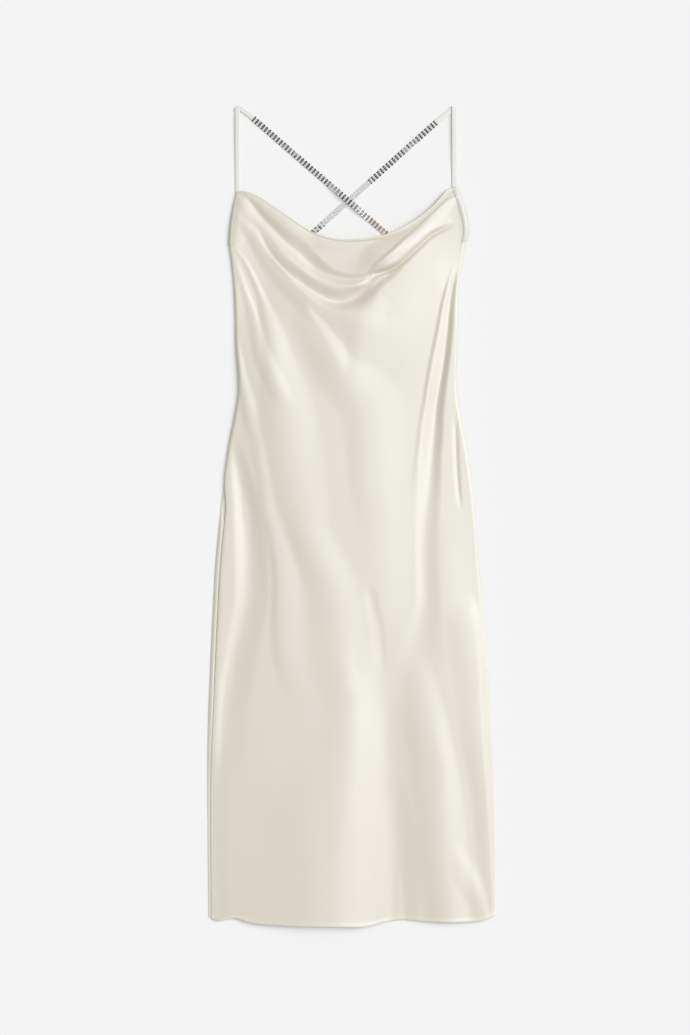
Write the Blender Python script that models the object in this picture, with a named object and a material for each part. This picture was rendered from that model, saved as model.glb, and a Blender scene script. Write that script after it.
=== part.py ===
"""Satin slip dress with a cowl neck, laid flat on its back.

The front panel lies on the back panel, front side up.  Each strap folds over at the shoulder and runs on as
a rhinestone band; the two bands cross and are sewn to the top of the back panel.

Tables are in millimetres: x from the middle of the dress, plus to the right, and drop down from the highest
point of the straps.  The model is in metres, with +Y towards the straps and +Z up from the surface.
"""

import math
from collections import namedtuple

import bmesh
import bpy
import numpy as np

MM = 0.001

# Driving dimensions, in millimetres
LENGTH = 1313.6              # highest point of the straps to the lowest point of the hem
WALL = 1.2                   # thickness of a panel
GAP = 0.3                    # clearance between pieces that touch
BINDING_WIDTH = 8.0
BINDING_WALL = 1.0
SEAM_ROLL = 8.0              # how far the back panel shows beyond the left side seam
ROLL_LAG = 35.0              # the back's edge rolls up this much lower than where the seam has moved in
STRAP_WALL = 1.2
STRAP_TUCK = 18.0            # length of a strap's lower end that stays flat under the front's corner
BAND_WIDTH = 10.0
BAND_WALL = 2.0
EDGE_ROUND = 6.0             # width over which the front rises from its side edges
BACK_HEM_LIFT = 3.0          # how much shorter the back is than the front at the hem

NECK_LEVEL = 138.0           # drop of the panel's top corners
UNDERARM_LEVEL = 224.0
ROLL_LEVEL = 590.0           # drop where the left side seam begins to move in
ROLL_START = 60.0            # length over which it does so
HEM_LEVEL = 1297.0           # drop of the hem at the side seams
NECK_CURVE_REACH = 360.0     # the rows of the front lose the neck's curve over this length

FRONT_ROWS = 60
FRONT_COLUMNS = 44
ROW_CROWDING = 0.6           # 0 spaces the rows evenly, 1 crowds them all towards the neck
BACK_ROWS = 32
BACK_COLUMNS = 8
BAND_ROWS = 36

FRONT_BASE = WALL + GAP + WALL / 2          # height of the front panel's mid-surface where it lies flat

Edge = namedtuple("Edge", "drop x")
Point = namedtuple("Point", "x drop")
Section = namedtuple(
    "Section", "drop left outer_left inner_left near_left centre near_right inner_right outer_right right")
Crest = namedtuple("Crest", "x drop height left right")
Rise = namedtuple("Rise", "along height")
Strap = namedtuple("Strap", "name base fold end width bend arch")
Band = namedtuple("Band", "name start end rises")
Finish = namedtuple("Finish", "name colour roughness metallic")

# Outline: x of each side at a drop
LEFT_SIDE = [Edge(*row) for row in (
    (138, -183.0),          # strap base
    (175, -190.8),
    (206, -194.6),
    (224, -194.8),          # underarm
    (247, -186.8),
    (290, -180.4),
    (375, -181.0),
    (466, -178.0),          # waist
    (503, -185.0),
    (543, -194.5),
    (606, -204.1),
    (676, -211.9),
    (727, -216.7),
    (810, -221.4),
    (916, -226.2),          # hip
    (1012, -229.4),
    (1142, -229.4),
    (1297, -227.8),         # hem
)]
RIGHT_SIDE = [Edge(*row) for row in (
    (129, 169.0),
    (160, 179.4),
    (206, 187.0),
    (224, 182.6),
    (247, 179.4),
    (290, 173.0),
    (375, 170.8),
    (466, 170.2),
    (503, 176.1),
    (543, 183.6),
    (606, 193.2),
    (676, 200.4),
    (727, 204.1),
    (810, 210.8),
    (916, 219.1),
    (1012, 224.6),
    (1142, 229.4),
    (1297, 229.4),
)]

# Top edge of the front, from strap to strap
NECK = [Point(*row) for row in (
    (-184, 138), (-168, 138), (-143, 149), (-112, 166), (-63, 204), (-26, 215), (8, 217), (54, 210), (88, 195),
    (118, 174), (137, 157), (157, 136), (172, 129),
)]
# Lower edge of the front, from side to side
HEM = [Point(*row) for row in (
    (-229, 1297), (-210, 1304), (-191, 1300), (-157, 1308), (-116, 1311), (-21, 1312.8), (30, 1312.6),
    (56, 1306), (75, 1303), (131, 1306), (182, 1306), (214, 1303), (230, 1296),
)]
# Top edge of the back, from underarm to underarm
BACK_TOP = [Point(*row) for row in (
    (-195, 222), (-100, 227), (0, 229), (100, 226), (187, 212),
)]

# Broad form of the front: its height above the base at nine places across, section by section
SECTIONS = [Section(*row) for row in (
    (140, 0, 0, 0, 0, 0, 0, 0, 0, 0),
    (200, 1.5, 1, 1, 1.5, 2, 3.5, 3.6, 3, 5.5),
    (260, 1, 0.6, 1.5, 3, 4, 7, 7, 4.2, 2.5),
    (310, 1.6, 1, 3, 4.5, 6, 9, 7.8, 4.8, 3),
    (360, 2, 2.4, 4, 5.6, 7.5, 8.8, 7.3, 5, 3.5),
    (410, 2, 3.6, 5, 6.5, 8, 9, 7, 4.8, 3.5),
    (510, 2, 5.5, 7, 7.5, 8.3, 8.5, 6.5, 4.6, 3.5),
    (610, 1.8, 4.6, 6.5, 7.6, 7.8, 8, 5.8, 4.4, 3.5),
    (710, 1.5, 4.2, 6.7, 7.8, 8, 8, 5.4, 5, 3.5),
    (810, 1.5, 4, 7, 8, 8, 7, 5, 5.2, 3),
    (960, 1.2, 3.6, 6, 7.6, 8.4, 3.2, 4.6, 4.4, 2.6),
    (1110, 0.8, 3.4, 6, 8.2, 7.9, 2.2, 4.4, 3, 1.8),
    (1297, 0.8, 3.8, 6.6, 9.2, 7.4, 1.4, 3.2, 2.4, 1.6),
)]

# Folds of the front.  Each one is a ridge that runs through its rows: the height of the crest, and how far
# the cloth takes to fall to the left and to the right of someone who walks along it.  A negative height is
# a hollow.
FOLDS = {
    "neck edge": (
        (-168, 137, 0.8, 6, 13), (-112, 166, 1.6, 6, 32), (-63, 204, 1.8, 6, 42), (8, 217, 2.2, 6, 45),
        (54, 210, 2.4, 6, 42), (88, 195, 2.4, 6, 30), (118, 174, 2, 6, 20), (158, 135, 0.6, 5, 10),
    ),
    "inside of the neck": (
        (-168, 141, 0.3, 8, 8), (-145, 160, 2, 20, 10), (-108, 196, 3.2, 35, 14), (-68, 228, 4.5, 45, 17),
        (-25, 259, 5.5, 50, 15), (0, 263, 6, 50, 13), (32, 257, 5, 45, 16), (66, 228, 3.8, 34, 28),
        (100, 197, 2, 20, 24), (130, 172, 0, 10, 14),
    ),
    "first cowl fold": (
        (-172, 155, 1, 8, 8), (-150, 183, 1.4, 11, 12), (-124, 213, 1.6, 13, 17), (-95, 245, 2.6, 18, 21),
        (-55, 273, 3.6, 14, 21), (-30, 283, 5.5, 11, 25), (0, 288, 8, 10, 29), (25, 284, 8, 9, 27),
        (48, 277, 6, 8, 20), (78, 262, 0, 8, 8),
    ),
    "second cowl fold": (
        (-172, 182, 0, 8, 10), (-146, 222, 1, 9, 18), (-114, 259, 1, 8, 26), (-59, 305, 1.6, 8, 34),
        (0, 327, 2.6, 8, 45), (40, 312, 1.8, 8, 34), (70, 285, 0, 8, 22),
    ),
    "fold from the right strap": (
        (158, 152, 0.6, 12, 8), (122, 181, 1.4, 24, 8), (95, 207, 2.2, 30, 8), (68, 232, 2.8, 28, 8),
        (43, 256, 2, 14, 8), (36, 264, 0.4, 8, 8),
    ),
    "hollow below the strap fold": (
        (145, 202, -1, 8, 6), (112, 222, -2.6, 9, 6), (86, 248, -4, 10, 6), (75, 257, -4.4, 10, 6),
        (34, 268, -1, 8, 6),
    ),
    "underarm to hip": (
        (-171, 248, 0.5, 8, 8), (-141, 315, 1, 10, 8), (-114, 402, 1.8, 30, 10), (-103, 462, 2, 44, 22),
        (-102, 550, 1.6, 60, 44), (-84, 650, 1.5, 55, 38), (-50, 735, 1.5, 45, 38), (-24, 830, 1.2, 50, 48),
        (0, 960, 0, 30, 50),
    ),
    "middle of the bodice": (
        (-76, 318, 0, 8, 30), (-50, 364, 1.6, 20, 44), (-18, 423, 1.9, 32, 48), (10, 462, 1.5, 60, 46),
        (23, 520, 1.2, 70, 40), (22, 600, 0.7, 60, 30), (34, 680, 0, 40, 24),
    ),
    "rolled left edge": (
        (-188, 232, 0.6, 8, 6), (-178, 265, 2.4, 8, 6), (-177, 330, 2.6, 8, 6), (-176, 420, 2.4, 8, 6),
        (-181, 503, 1.2, 8, 6), (-190, 540, 0, 8, 6),
    ),
    "left hip": (
        (-195, 560, 0, 12, 8), (-194, 650, 2, 24, 12), (-194, 745, 2.4, 28, 16), (-205, 840, 1.9, 24, 12),
        (-214, 940, 1.2, 20, 8), (-219, 1080, 0, 16, 6),
    ),
    "hollow along the left hip": (
        (-190, 535, 0, 10, 6), (-175, 600, -1.6, 20, 18), (-161, 700, -2.6, 28, 28), (-160, 790, -2.2, 32, 26),
        (-180, 915, -1.5, 38, 20), (-199, 1080, 0, 44, 12),
    ),
    "hollow along the right side": (
        (160, 275, -1.2, 8, 8), (154, 330, -3.2, 9, 11), (147, 410, -3.8, 10, 14), (136, 480, -3.8, 13, 17),
        (129, 560, -3, 16, 21), (117, 690, -1.5, 26, 16), (119, 790, -1.3, 26, 18), (88, 960, 0, 50, 30),
    ),
    "right of the skirt": (
        (100, 880, 0, 24, 30), (116, 940, 0.8, 28, 44), (140, 1045, 1.7, 30, 60), (151, 1130, 2.2, 32, 70),
        (157, 1220, 2, 30, 66), (165, 1311, 1.8, 20, 66),
    ),
    "right side of the skirt": (
        (182, 785, 0, 16, 30), (199, 870, 1.7, 16, 46), (210, 1030, 1.6, 10, 36), (219, 1130, 1.5, 8, 30),
        (227, 1275, 0.4, 6, 16),
    ),
    "middle of the skirt": (
        (-8, 905, 0, 40, 30), (5, 1000, 1, 52, 70), (-8, 1100, 2, 64, 110), (-20, 1200, 2.9, 86, 150),
        (-21, 1316, 3.1, 94, 160),
    ),
}
FOLD_STEPS = 6               # points worked out between two rows of a fold

STRAPS = (
    Strap("strap_left", Point(-181.6, 150.0), Point(-181.8, 3.4), Point(-155.6, 22.0), 7.6, 1.0, 1.5),
    Strap("strap_right", Point(165.3, 142.0), Point(165.0, 4.4), Point(133.4, 29.2), 8.4, 1.6, 1.5),
)
BANDS = (
    Band("rhinestone_band_left", Point(-155.2, 22.4), Point(96.0, 240.0), (
        Rise(0.0, 0.0), Rise(0.46, 0.0), Rise(0.54, 2.6), Rise(0.66, 2.6), Rise(0.74, 0.0), Rise(0.84, 0.0),
        Rise(0.91, 1.5), Rise(1.0, 1.5),
    )),
    Band("rhinestone_band_right", Point(132.6, 29.9), Point(-100.6, 239.2), (
        Rise(0.0, 0.0), Rise(0.84, 0.0), Rise(0.91, 1.5), Rise(1.0, 1.5),
    )),
)

SATIN = Finish("ivory satin", (0.80, 0.76, 0.69, 1.0), 0.38, 0.0)
BINDING = Finish("ivory satin binding", (0.78, 0.74, 0.67, 1.0), 0.42, 0.0)
STONES = Finish("rhinestones in metal cups", (0.62, 0.62, 0.63, 1.0), 0.18, 0.85)


def clear_scene():
    for item in list(bpy.data.objects):
        bpy.data.objects.remove(item, do_unlink=True)


def ease(value):
    """0 to 1 with a soft start and a soft end"""
    value = np.clip(value, 0.0, 1.0)
    return value * value * (3.0 - 2.0 * value)


def spline(positions, values, at):
    """A smooth curve through the values, read at the given positions"""
    positions = np.asarray(positions, dtype=float)
    values = np.asarray(values, dtype=float)
    at = np.clip(np.asarray(at, dtype=float), positions[0], positions[-1])
    slopes = np.gradient(values, positions)
    span = np.clip(np.searchsorted(positions, at, side="right") - 1, 0, len(positions) - 2)
    width = positions[span + 1] - positions[span]
    t = (at - positions[span]) / width
    return (
        values[span] * (1 + 2 * t) * (1 - t) ** 2
        + slopes[span] * width * t * (1 - t) ** 2
        + values[span + 1] * t * t * (3 - 2 * t)
        - slopes[span + 1] * width * t * t * (1 - t)
    )


def side(table, drop):
    """x of one side of the dress at a drop"""
    return spline([row.drop for row in table], [row.x for row in table], drop)


def edge(table, x):
    """Drop of the neck, the hem or the back's top edge at an x"""
    return spline([row.x for row in table], [row.drop for row in table], x)


def seam_inset(drop):
    """How far the left side seam lies inside the outline"""
    return SEAM_ROLL * ease((drop - ROLL_LEVEL) / ROLL_START)


def trace(rows):
    """The rows of a fold with points worked out between them"""
    rows = np.array(rows, dtype=float)
    knots = np.arange(len(rows))
    at = np.linspace(0, len(rows) - 1, (len(rows) - 1) * FOLD_STEPS + 1)
    return Crest(*(spline(knots, column, at) for column in rows.T))


def fold_height(crest, x, drop):
    """Height that one fold adds at each point"""
    nearest = np.full(x.shape, np.inf)
    added = np.zeros(x.shape)
    for i in range(len(crest.x) - 1):
        run_x = crest.x[i + 1] - crest.x[i]
        run_drop = crest.drop[i + 1] - crest.drop[i]
        off_x = x - crest.x[i]
        off_drop = drop - crest.drop[i]
        t = np.clip((off_x * run_x + off_drop * run_drop) / (run_x ** 2 + run_drop ** 2), 0, 1)
        gap = np.hypot(off_x - t * run_x, off_drop - t * run_drop)
        on_left = run_x * off_drop - run_drop * off_x < 0
        left = crest.left[i] + t * (crest.left[i + 1] - crest.left[i])
        right = crest.right[i] + t * (crest.right[i + 1] - crest.right[i])
        height = crest.height[i] + t * (crest.height[i + 1] - crest.height[i])
        reach = np.where(on_left, left, right)
        bell = np.clip(1 - (gap / reach) ** 2, 0, 1) ** 2
        added = np.where(gap < nearest, height * bell, added)
        nearest = np.minimum(gap, nearest)
    return added


def broad_form(x, drop, left, right):
    """Height of the front's broad form at each point, between its left and right sides"""
    drops = [row.drop for row in SECTIONS]
    heights = [spline(drops, [getattr(row, name) for row in SECTIONS], drop) for name in Section._fields[1:]]
    heights = np.stack([heights[0]] + heights + [heights[-1]], axis=-1)
    last = len(Section._fields) - 2
    position = np.clip((x - left) / (right - left), 0, 1) * last
    first = np.minimum(position.astype(int), last - 1)
    t = position - first
    before, start, end, after = (
        np.take_along_axis(heights, (first + i)[..., None], axis=-1)[..., 0] for i in range(4))
    form = start + 0.5 * t * (end - before + t * (
        2 * before - 5 * start + 4 * end - after + t * (3 * (start - end) + after - before)))
    inside = np.clip(np.minimum(x - left, right - x) / EDGE_ROUND, 0, 1)
    return form * (1 - (1 - inside) ** 2)


def front_grid():
    """Mid-surface of the front panel: rows from neck to hem, columns from left to right"""
    share = np.linspace(0, 1, FRONT_ROWS + 1)
    share = (1 - ROW_CROWDING) * share + ROW_CROWDING * share ** 2
    level = (NECK_LEVEL + (HEM_LEVEL - NECK_LEVEL) * share)[:, None]
    curve = 1 - np.clip((level - NECK_LEVEL) / NECK_CURVE_REACH, 0, 1)

    width = side(RIGHT_SIDE, NECK_LEVEL) - side(LEFT_SIDE, NECK_LEVEL)
    inner = np.linspace(BINDING_WIDTH / width, 1 - BINDING_WIDTH / width, FRONT_COLUMNS - 1)
    across = np.concatenate(([0.0], inner, [1.0]))[None, :]

    neck_x = side(LEFT_SIDE, NECK_LEVEL) + across * width
    dip = edge(NECK, neck_x) - NECK_LEVEL
    left_drop = level + dip[:, :1] * curve
    right_drop = level + dip[:, -1:] * curve
    left = side(LEFT_SIDE, left_drop) + seam_inset(left_drop)
    right = side(RIGHT_SIDE, right_drop)
    x = left + across * (right - left)
    drop = level + dip * curve + (edge(HEM, x) - HEM_LEVEL) * share[:, None] ** 3

    form = broad_form(x, drop, left, right)
    folds = sum(fold_height(trace(rows), x, drop) for rows in FOLDS.values())
    return x, drop, FRONT_BASE + np.maximum(form + folds, 0)


def place(x, drop, height):
    """Table sizes to model coordinates in metres"""
    return np.stack(np.broadcast_arrays(x, LENGTH / 2 - drop, height), axis=-1) * MM


def normals(points):
    """Upward unit normals of a grid whose rows run down the dress and columns to the right"""
    down = np.gradient(points, axis=0)
    across = np.gradient(points, axis=1)
    normal = np.cross(down, across)
    return normal / np.linalg.norm(normal, axis=-1, keepdims=True)


def make_object(name, vertices, faces, finish):
    mesh = bpy.data.meshes.new(name)
    mesh.from_pydata([tuple(v) for v in vertices], [], faces)
    shape = bmesh.new()
    shape.from_mesh(mesh)
    bmesh.ops.recalc_face_normals(shape, faces=shape.faces)
    shape.to_mesh(mesh)
    shape.free()
    mesh.shade_smooth()
    mesh.set_sharp_from_angle(angle=math.radians(50))
    mesh.materials.append(material_of(finish))
    item = bpy.data.objects.new(name, mesh)
    bpy.context.scene.collection.objects.link(item)
    return item


def material_of(finish):
    material = bpy.data.materials.get(finish.name)
    if material:
        return material
    material = bpy.data.materials.new(finish.name)
    material.use_nodes = True
    shader = material.node_tree.nodes["Principled BSDF"]
    shader.inputs["Base Color"].default_value = finish.colour
    shader.inputs["Roughness"].default_value = finish.roughness
    shader.inputs["Metallic"].default_value = finish.metallic
    return material


def sheet(name, upper, lower, finish):
    """A closed wall between two grids of points, one above the other, all in triangles"""
    rows, columns = upper.shape[:2]
    number = np.arange(rows * columns).reshape(rows, columns)
    under = number + rows * columns
    faces = []
    for r in range(rows - 1):
        for c in range(columns - 1):
            a, b, d, e = number[r, c], number[r, c + 1], number[r + 1, c], number[r + 1, c + 1]
            faces += [(a, d, b), (b, d, e)]
            a, b, d, e = under[r, c], under[r, c + 1], under[r + 1, c], under[r + 1, c + 1]
            faces += [(a, b, d), (b, e, d)]
    rim = list(number[0]) + list(number[1:, -1]) + list(number[-1, -2::-1]) + list(number[-2:0:-1, 0])
    for i, here in enumerate(rim):
        there = rim[(i + 1) % len(rim)]
        faces += [(here, there, here + rows * columns), (there, there + rows * columns, here + rows * columns)]
    vertices = np.concatenate((upper.reshape(-1, 3), lower.reshape(-1, 3)))
    return make_object(name, vertices, [tuple(int(i) for i in face) for face in faces], finish)


def wall(name, points, thickness, finish):
    """A closed wall of even thickness around a mid-surface"""
    offset = normals(points) * (thickness / 2 * MM)
    return sheet(name, points + offset, points - offset, finish)


def add_front_and_bindings():
    x, drop, height = front_grid()
    points = place(x, drop, height)
    wall("front_panel", points, WALL, SATIN)
    lifted = points + normals(points) * ((WALL / 2 + GAP + BINDING_WALL / 2) * MM)
    last = int(np.searchsorted(drop[:, 0], UNDERARM_LEVEL)) + 1
    wall("armhole_binding_left", lifted[:last, :2], BINDING_WALL, BINDING)
    wall("armhole_binding_right", lifted[:last, -2:], BINDING_WALL, BINDING)


def add_back():
    """Back panel: flat below, its left edge rolled up to the side seam"""
    share = np.linspace(0, 1, BACK_ROWS + 1)[:, None]
    top_left, top_right = BACK_TOP[0].drop, BACK_TOP[-1].drop
    left_drop = top_left + (HEM_LEVEL - top_left) * share
    right_drop = top_right + (HEM_LEVEL - top_right) * share
    left = side(LEFT_SIDE, left_drop)
    right = side(RIGHT_SIDE, right_drop)

    # the roll: its outer side, its top next to the seam, and its steep inner side under the front's edge
    rolled = seam_inset(left_drop - ROLL_LAG) / SEAM_ROLL
    seam = left + GAP + (0.9 * SEAM_ROLL - GAP) * rolled
    outer = left + 0.4 * (seam - left)
    foot = seam + 1.5 * GAP
    inner = left + (right - left) * np.linspace(0.06, 1, BACK_COLUMNS)[None, :]
    x = np.concatenate((left, outer, seam, foot, inner), axis=1)

    across = (x - left) / (right - left)
    straight = left_drop + across * (right_drop - left_drop)
    chord = top_left + across * (top_right - top_left)
    drop = straight + (edge(BACK_TOP, x) - chord) * (1 - share) ** 4
    drop = drop + (edge(HEM, x) - BACK_HEM_LIFT - HEM_LEVEL) * share ** 4
    thickness = np.full(x.shape, WALL)
    thickness[:, 1:3] += (FRONT_BASE - WALL / 2) * rolled ** 2
    sheet("back_panel", place(x, drop, thickness), place(x, drop, 0.0), SATIN)


def add_strap(strap):
    """A flat strap that runs up from the panel's corner, folds over and runs down behind"""
    base = np.array([strap.base.x, LENGTH / 2 - strap.base.drop])
    fold = np.array([strap.fold.x, LENGTH / 2 - strap.fold.drop])
    end = np.array([strap.end.x, LENGTH / 2 - strap.end.drop])
    up = (fold - base) / np.linalg.norm(fold - base)
    aside = np.array([up[1], -up[0]])
    landing = fold
    for _ in range(4):       # the turn carries the strap a little along its crease
        down = (end - landing) / np.linalg.norm(end - landing)
        crease = (up + down) / np.linalg.norm(up + down)
        beyond = (up - down) / np.linalg.norm(up - down)
        turn = math.pi * strap.bend / np.dot(beyond, up)
        landing = fold + turn * np.dot(crease, up) * crease

    length_up = np.linalg.norm(fold - base)
    length = length_up + turn + np.linalg.norm(end - landing)
    along = np.concatenate((
        np.linspace(0, length_up - strap.width, 11),
        np.linspace(length_up - strap.width * 0.5, length_up, 3),
        np.linspace(length_up, length_up + turn, 7)[1:],
        np.linspace(length_up + turn, length, 7)[1:],
    ))[:, None]
    across = np.linspace(-0.5, 0.5, 5)[None, :] * strap.width
    slant = np.dot(crease, up) / np.dot(crease, aside)
    square_up = ease(along / (length_up - strap.width * 0.8))
    square_down = ease((length - along) / (length - length_up - turn - strap.width * 0.5))
    slant_here = slant * np.minimum(square_up, 1) * np.minimum(square_down, 1)
    flat = base + (along + across * slant_here)[..., None] * up + across[..., None] * aside

    past = (flat - fold) @ beyond
    angle = np.clip(past / strap.bend, 0, math.pi)
    back = np.maximum(past - math.pi * strap.bend, 0)
    low = STRAP_WALL / 2
    middle = flat - np.maximum(past, 0)[..., None] * beyond - back[..., None] * beyond
    free = np.clip((along - STRAP_TUCK) / (length_up - STRAP_TUCK), 0, 1)
    rise = 2 * strap.bend * ease(free)
    climb = np.where(past <= 0, rise - 2 * strap.bend, 0) + strap.arch * np.sin(math.pi * free)

    def layer(offset):
        reach = (strap.bend + offset) * np.sin(angle)
        plan = middle + reach[..., None] * beyond
        height = low + strap.bend + (strap.bend + offset) * np.cos(angle) + climb
        return np.concatenate((plan, height[..., None]), axis=-1) * MM

    sheet(strap.name, layer(STRAP_WALL / 2), layer(-STRAP_WALL / 2), SATIN)


def add_band(band):
    """A straight band that lies on the surface and rises over what it crosses"""
    start = np.array([band.start.x, LENGTH / 2 - band.start.drop])
    end = np.array([band.end.x, LENGTH / 2 - band.end.drop])
    run = end - start
    aside = np.array([run[1], -run[0]]) / np.linalg.norm(run)
    along = np.linspace(0, 1, BAND_ROWS + 1)[:, None]
    across = np.array([[-0.5, 0.0, 0.5]]) * BAND_WIDTH
    plan = start + along[..., None] * run + across[..., None] * aside
    rises = np.array(band.rises)
    height = BAND_WALL / 2 + np.interp(along, rises[:, 0], rises[:, 1]) + 0 * across
    points = np.concatenate((plan, height[..., None]), axis=-1) * MM
    wall(band.name, points, BAND_WALL, STONES)


def main():
    clear_scene()
    add_front_and_bindings()
    add_back()
    for strap in STRAPS:
        add_strap(strap)
    for band in BANDS:
        add_band(band)


main()
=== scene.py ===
"""Satin slip dress with a draped cowl neck, laid flat on its back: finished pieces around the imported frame.

Tables and named sizes are in millimetres: x from the middle of the dress, plus to the right, and drop down
from the highest point of the straps.  Meshes are in metres, with +Y towards the straps and +Z up from the
surface.
"""

import math
from collections import namedtuple

import bpy
import numpy as np
from bpy.props import FloatProperty, FloatVectorProperty, IntProperty, PointerProperty
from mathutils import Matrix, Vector


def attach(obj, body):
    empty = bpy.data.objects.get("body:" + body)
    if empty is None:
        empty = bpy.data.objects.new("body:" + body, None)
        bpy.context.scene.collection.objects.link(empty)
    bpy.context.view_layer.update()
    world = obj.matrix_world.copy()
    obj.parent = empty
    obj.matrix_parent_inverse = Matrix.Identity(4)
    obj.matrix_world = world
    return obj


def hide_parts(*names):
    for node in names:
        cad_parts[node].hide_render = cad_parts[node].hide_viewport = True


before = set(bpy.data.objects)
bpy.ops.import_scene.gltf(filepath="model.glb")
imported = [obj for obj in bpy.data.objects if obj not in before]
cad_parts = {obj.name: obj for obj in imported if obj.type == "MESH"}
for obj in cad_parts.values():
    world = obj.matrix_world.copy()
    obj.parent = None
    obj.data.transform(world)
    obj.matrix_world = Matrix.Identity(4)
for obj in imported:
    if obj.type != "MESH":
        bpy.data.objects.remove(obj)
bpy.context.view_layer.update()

bl_info = {
    "name": "Satin slip dress",
    "version": (1, 0, 0),
    "blender": (4, 5, 0),
    "location": "3D View > Sidebar > Dress",
    "description": "Makes the cloth, stones, stitches and stage of a slip dress that lies flat",
    "category": "Add Mesh",
}

MM = 0.001
BODY = "root"

# Levels, in millimetres of drop
LENGTH = 1313.6              # highest point of the straps to the lowest point of the hem
NECK_LEVEL = 138.0           # the panel's top corners
UNDERARM_LEVEL = 224.0
HEM_LEVEL = 1297.0           # the hem at the side seams

# The left side seam, which moves in where the back rolls up beside the front, and out again towards the hem
ROLL_LEVEL = 590.0           # where it begins to move in
ROLL_START = 60.0            # length over which it does so
ROLL_FADE = 930.0            # where it begins to move out again
ROLL_OUT = 220.0             # length over which it does so
ROLL_LOSS = 0.45             # share of its way in that it moves out again
ROLL_LAG = 35.0              # how much lower the back's edge does the same

# The front
FRONT_BASE = 2.1             # height of its middle surface where it is flat
NECK_CURVE_REACH = 360.0     # its rows lose the neck's curve over this length
HEM_CURVE_POWER = 3          # how late they take up the hem's curve
EDGE_ROUND = 3.0             # width over which it rises from its side edges
SETTLE_DEPTH = 0.7           # how far it comes down to the back beside the left side seam, towards the hem
SETTLE_WIDTH = 32.0          # width over which it does so
NECK_GROOVE_GAP = 0.6        # distance from the neck's roll to the bottom of its groove
NECK_GROOVE_WIDTH = 0.9
HEM_STEP = 0.35              # how much thicker the turned hem is
HEM_STEP_WIDTH = 1.6
HEM_GROOVE_DEPTH = 0.25
HEM_GROOVE_WIDTH = 0.6

# The back
BACK_ROWS = 160
BACK_ROW_RIM = np.array([0, 0.0001, 0.0004])       # its first rows, in shares of its length
BACK_PARTS, BACK_PART_STEP = 1000.0, 45.0          # its flat width in parts, and the parts between columns
BACK_CURVE_POWER = 4         # how soon its rows lose its top edge's curve and how late they take up the hem's
BACK_HEM_LIFT = 1.5          # how much shorter it is than the front
STRIP_LEAST = 0.3            # how far it shows beyond the seam where it isn't rolled
STRIP_TUCK = 0.1             # how far its rolled edge goes under the front
STRIP_COLUMNS = np.array([0, 0.015, 0.05, 0.12, 0.25, 0.4, 0.55, 0.7, 0.85, 1.0, 1.06])    # in shares of it
STRIP_END = 1.1              # where its flat width starts, in shares of the strip
STRIP_CROWN = 1.35           # how much the rolled edge stands up
STRIP_TURN = 0.86            # share of half a turn that it rolls

# Bindings and straps
BINDING_WALL = 0.4
BINDING_CROWN = 0.3          # share by which a binding is thicker along its middle
BINDING_COLUMN = 0.8
STRAP_WALL = 0.7
STRAP_CROWN = 0.15
STRAP_ROW = 1.6
STRAP_COLUMN = 0.9
STRAP_TURN_ROWS = 16         # rows round the fold at the shoulder
STRAP_TUCK = 18.0            # length of the lower end that stays flat under the front's corner
STRAP_LIFT = 0.62            # height of the middle of the layer behind the fold
SLANT_BEFORE = 0.8           # the strap's rows slant as its fold does from so many widths before it
SLANT_AFTER = 0.5            # to so many widths after it
CREASE_ROUNDS = 4
FLAT_LEAST = 10.0            # least width of a flat piece of cloth

# Bands
STONE_SIDES = 8
BAND_POINTS = 160            # along the line of a band
BAND_LIFT = 0.05             # of the cups above that line
# The stones' brightness is painted glint: bright flashes and dark reflections painted into the colour of the
# stones and their cups
EVERY_SECOND = 0.66          # how much brighter the painted glint makes every second stone
CHANCE = 0.32                # how much brighter a stone's painted glint may be by chance
DRIFT = 0.24                 # how much brighter the painted glint of the dark stones gets here and there
DRIFT_SCALE = 26.0
DRIFT_FROM, DRIFT_TO = 0.42, 0.66
PALE, PALE_SWING = 0.60, 0.30                      # painted brightness of the stones along the faded stretch

# Stitches
STITCH_LIFT = 0.1            # above the cloth
HEM_STITCH_ENDS = (10.0, -2.0)                     # distances from the left and the right side
HEM_STITCH_GAP = 0.6         # from the edge of the turned hem
SEAM_STITCH_INSETS = (1.8, 4.6)                    # the two rows beside the left side seam
SEAM_STITCH_DROPS = (642.0, 1292.0)
BINDING_STITCH_INSET = 1.2
BINDING_STITCH_LIFT = 0.6
BINDING_STITCH_ENDS = 3.0
STRAP_STITCH_INSET = 0.8
STRAP_STITCHES = (1.6, 3.8)                        # distances from the end of the strap
STRAP_STITCH_HEIGHT = 1.3

# Satin
SATIN_ROUGHNESS = 0.40
SATIN_SWING = 0.05           # how much the threads and the clouds change it
THREADS = (900, 5200, 1)     # waves in a metre along and across the threads
BIAS = math.radians(45)
CLOUDS = 9.0
RELIEF = 0.03 * MM

# Stage
FLOOR_HALF = 25.0            # in metres
FLOOR_DEPTH = 0.2            # below the back
VIEW_CENTRE = (-10.0, -2.4)                        # x and y of the point below the camera
SENSOR = 36.0

Edge = namedtuple("Edge", "drop x")
Point = namedtuple("Point", "x drop")
Section = namedtuple(
    "Section", "drop left outer_left inner_left near_left centre near_right inner_right outer_right right")
Crest = namedtuple("Crest", "x drop height left right")        # the columns of each fold's rows
Spacing = namedtuple("Spacing", "at step")
Roll = namedtuple("Roll", "x height width groove")
Rise = namedtuple("Rise", "along height")
Ring = namedtuple("Ring", "radius height")
Stretch = namedtuple("Stretch", "start end")
Strap = namedtuple("Strap", "side base fold end width bend arch")
Band = namedtuple("Band", "side start end faded warm rises")
Lamp = namedtuple("Lamp", "name strength spread azimuth elevation")

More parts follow.
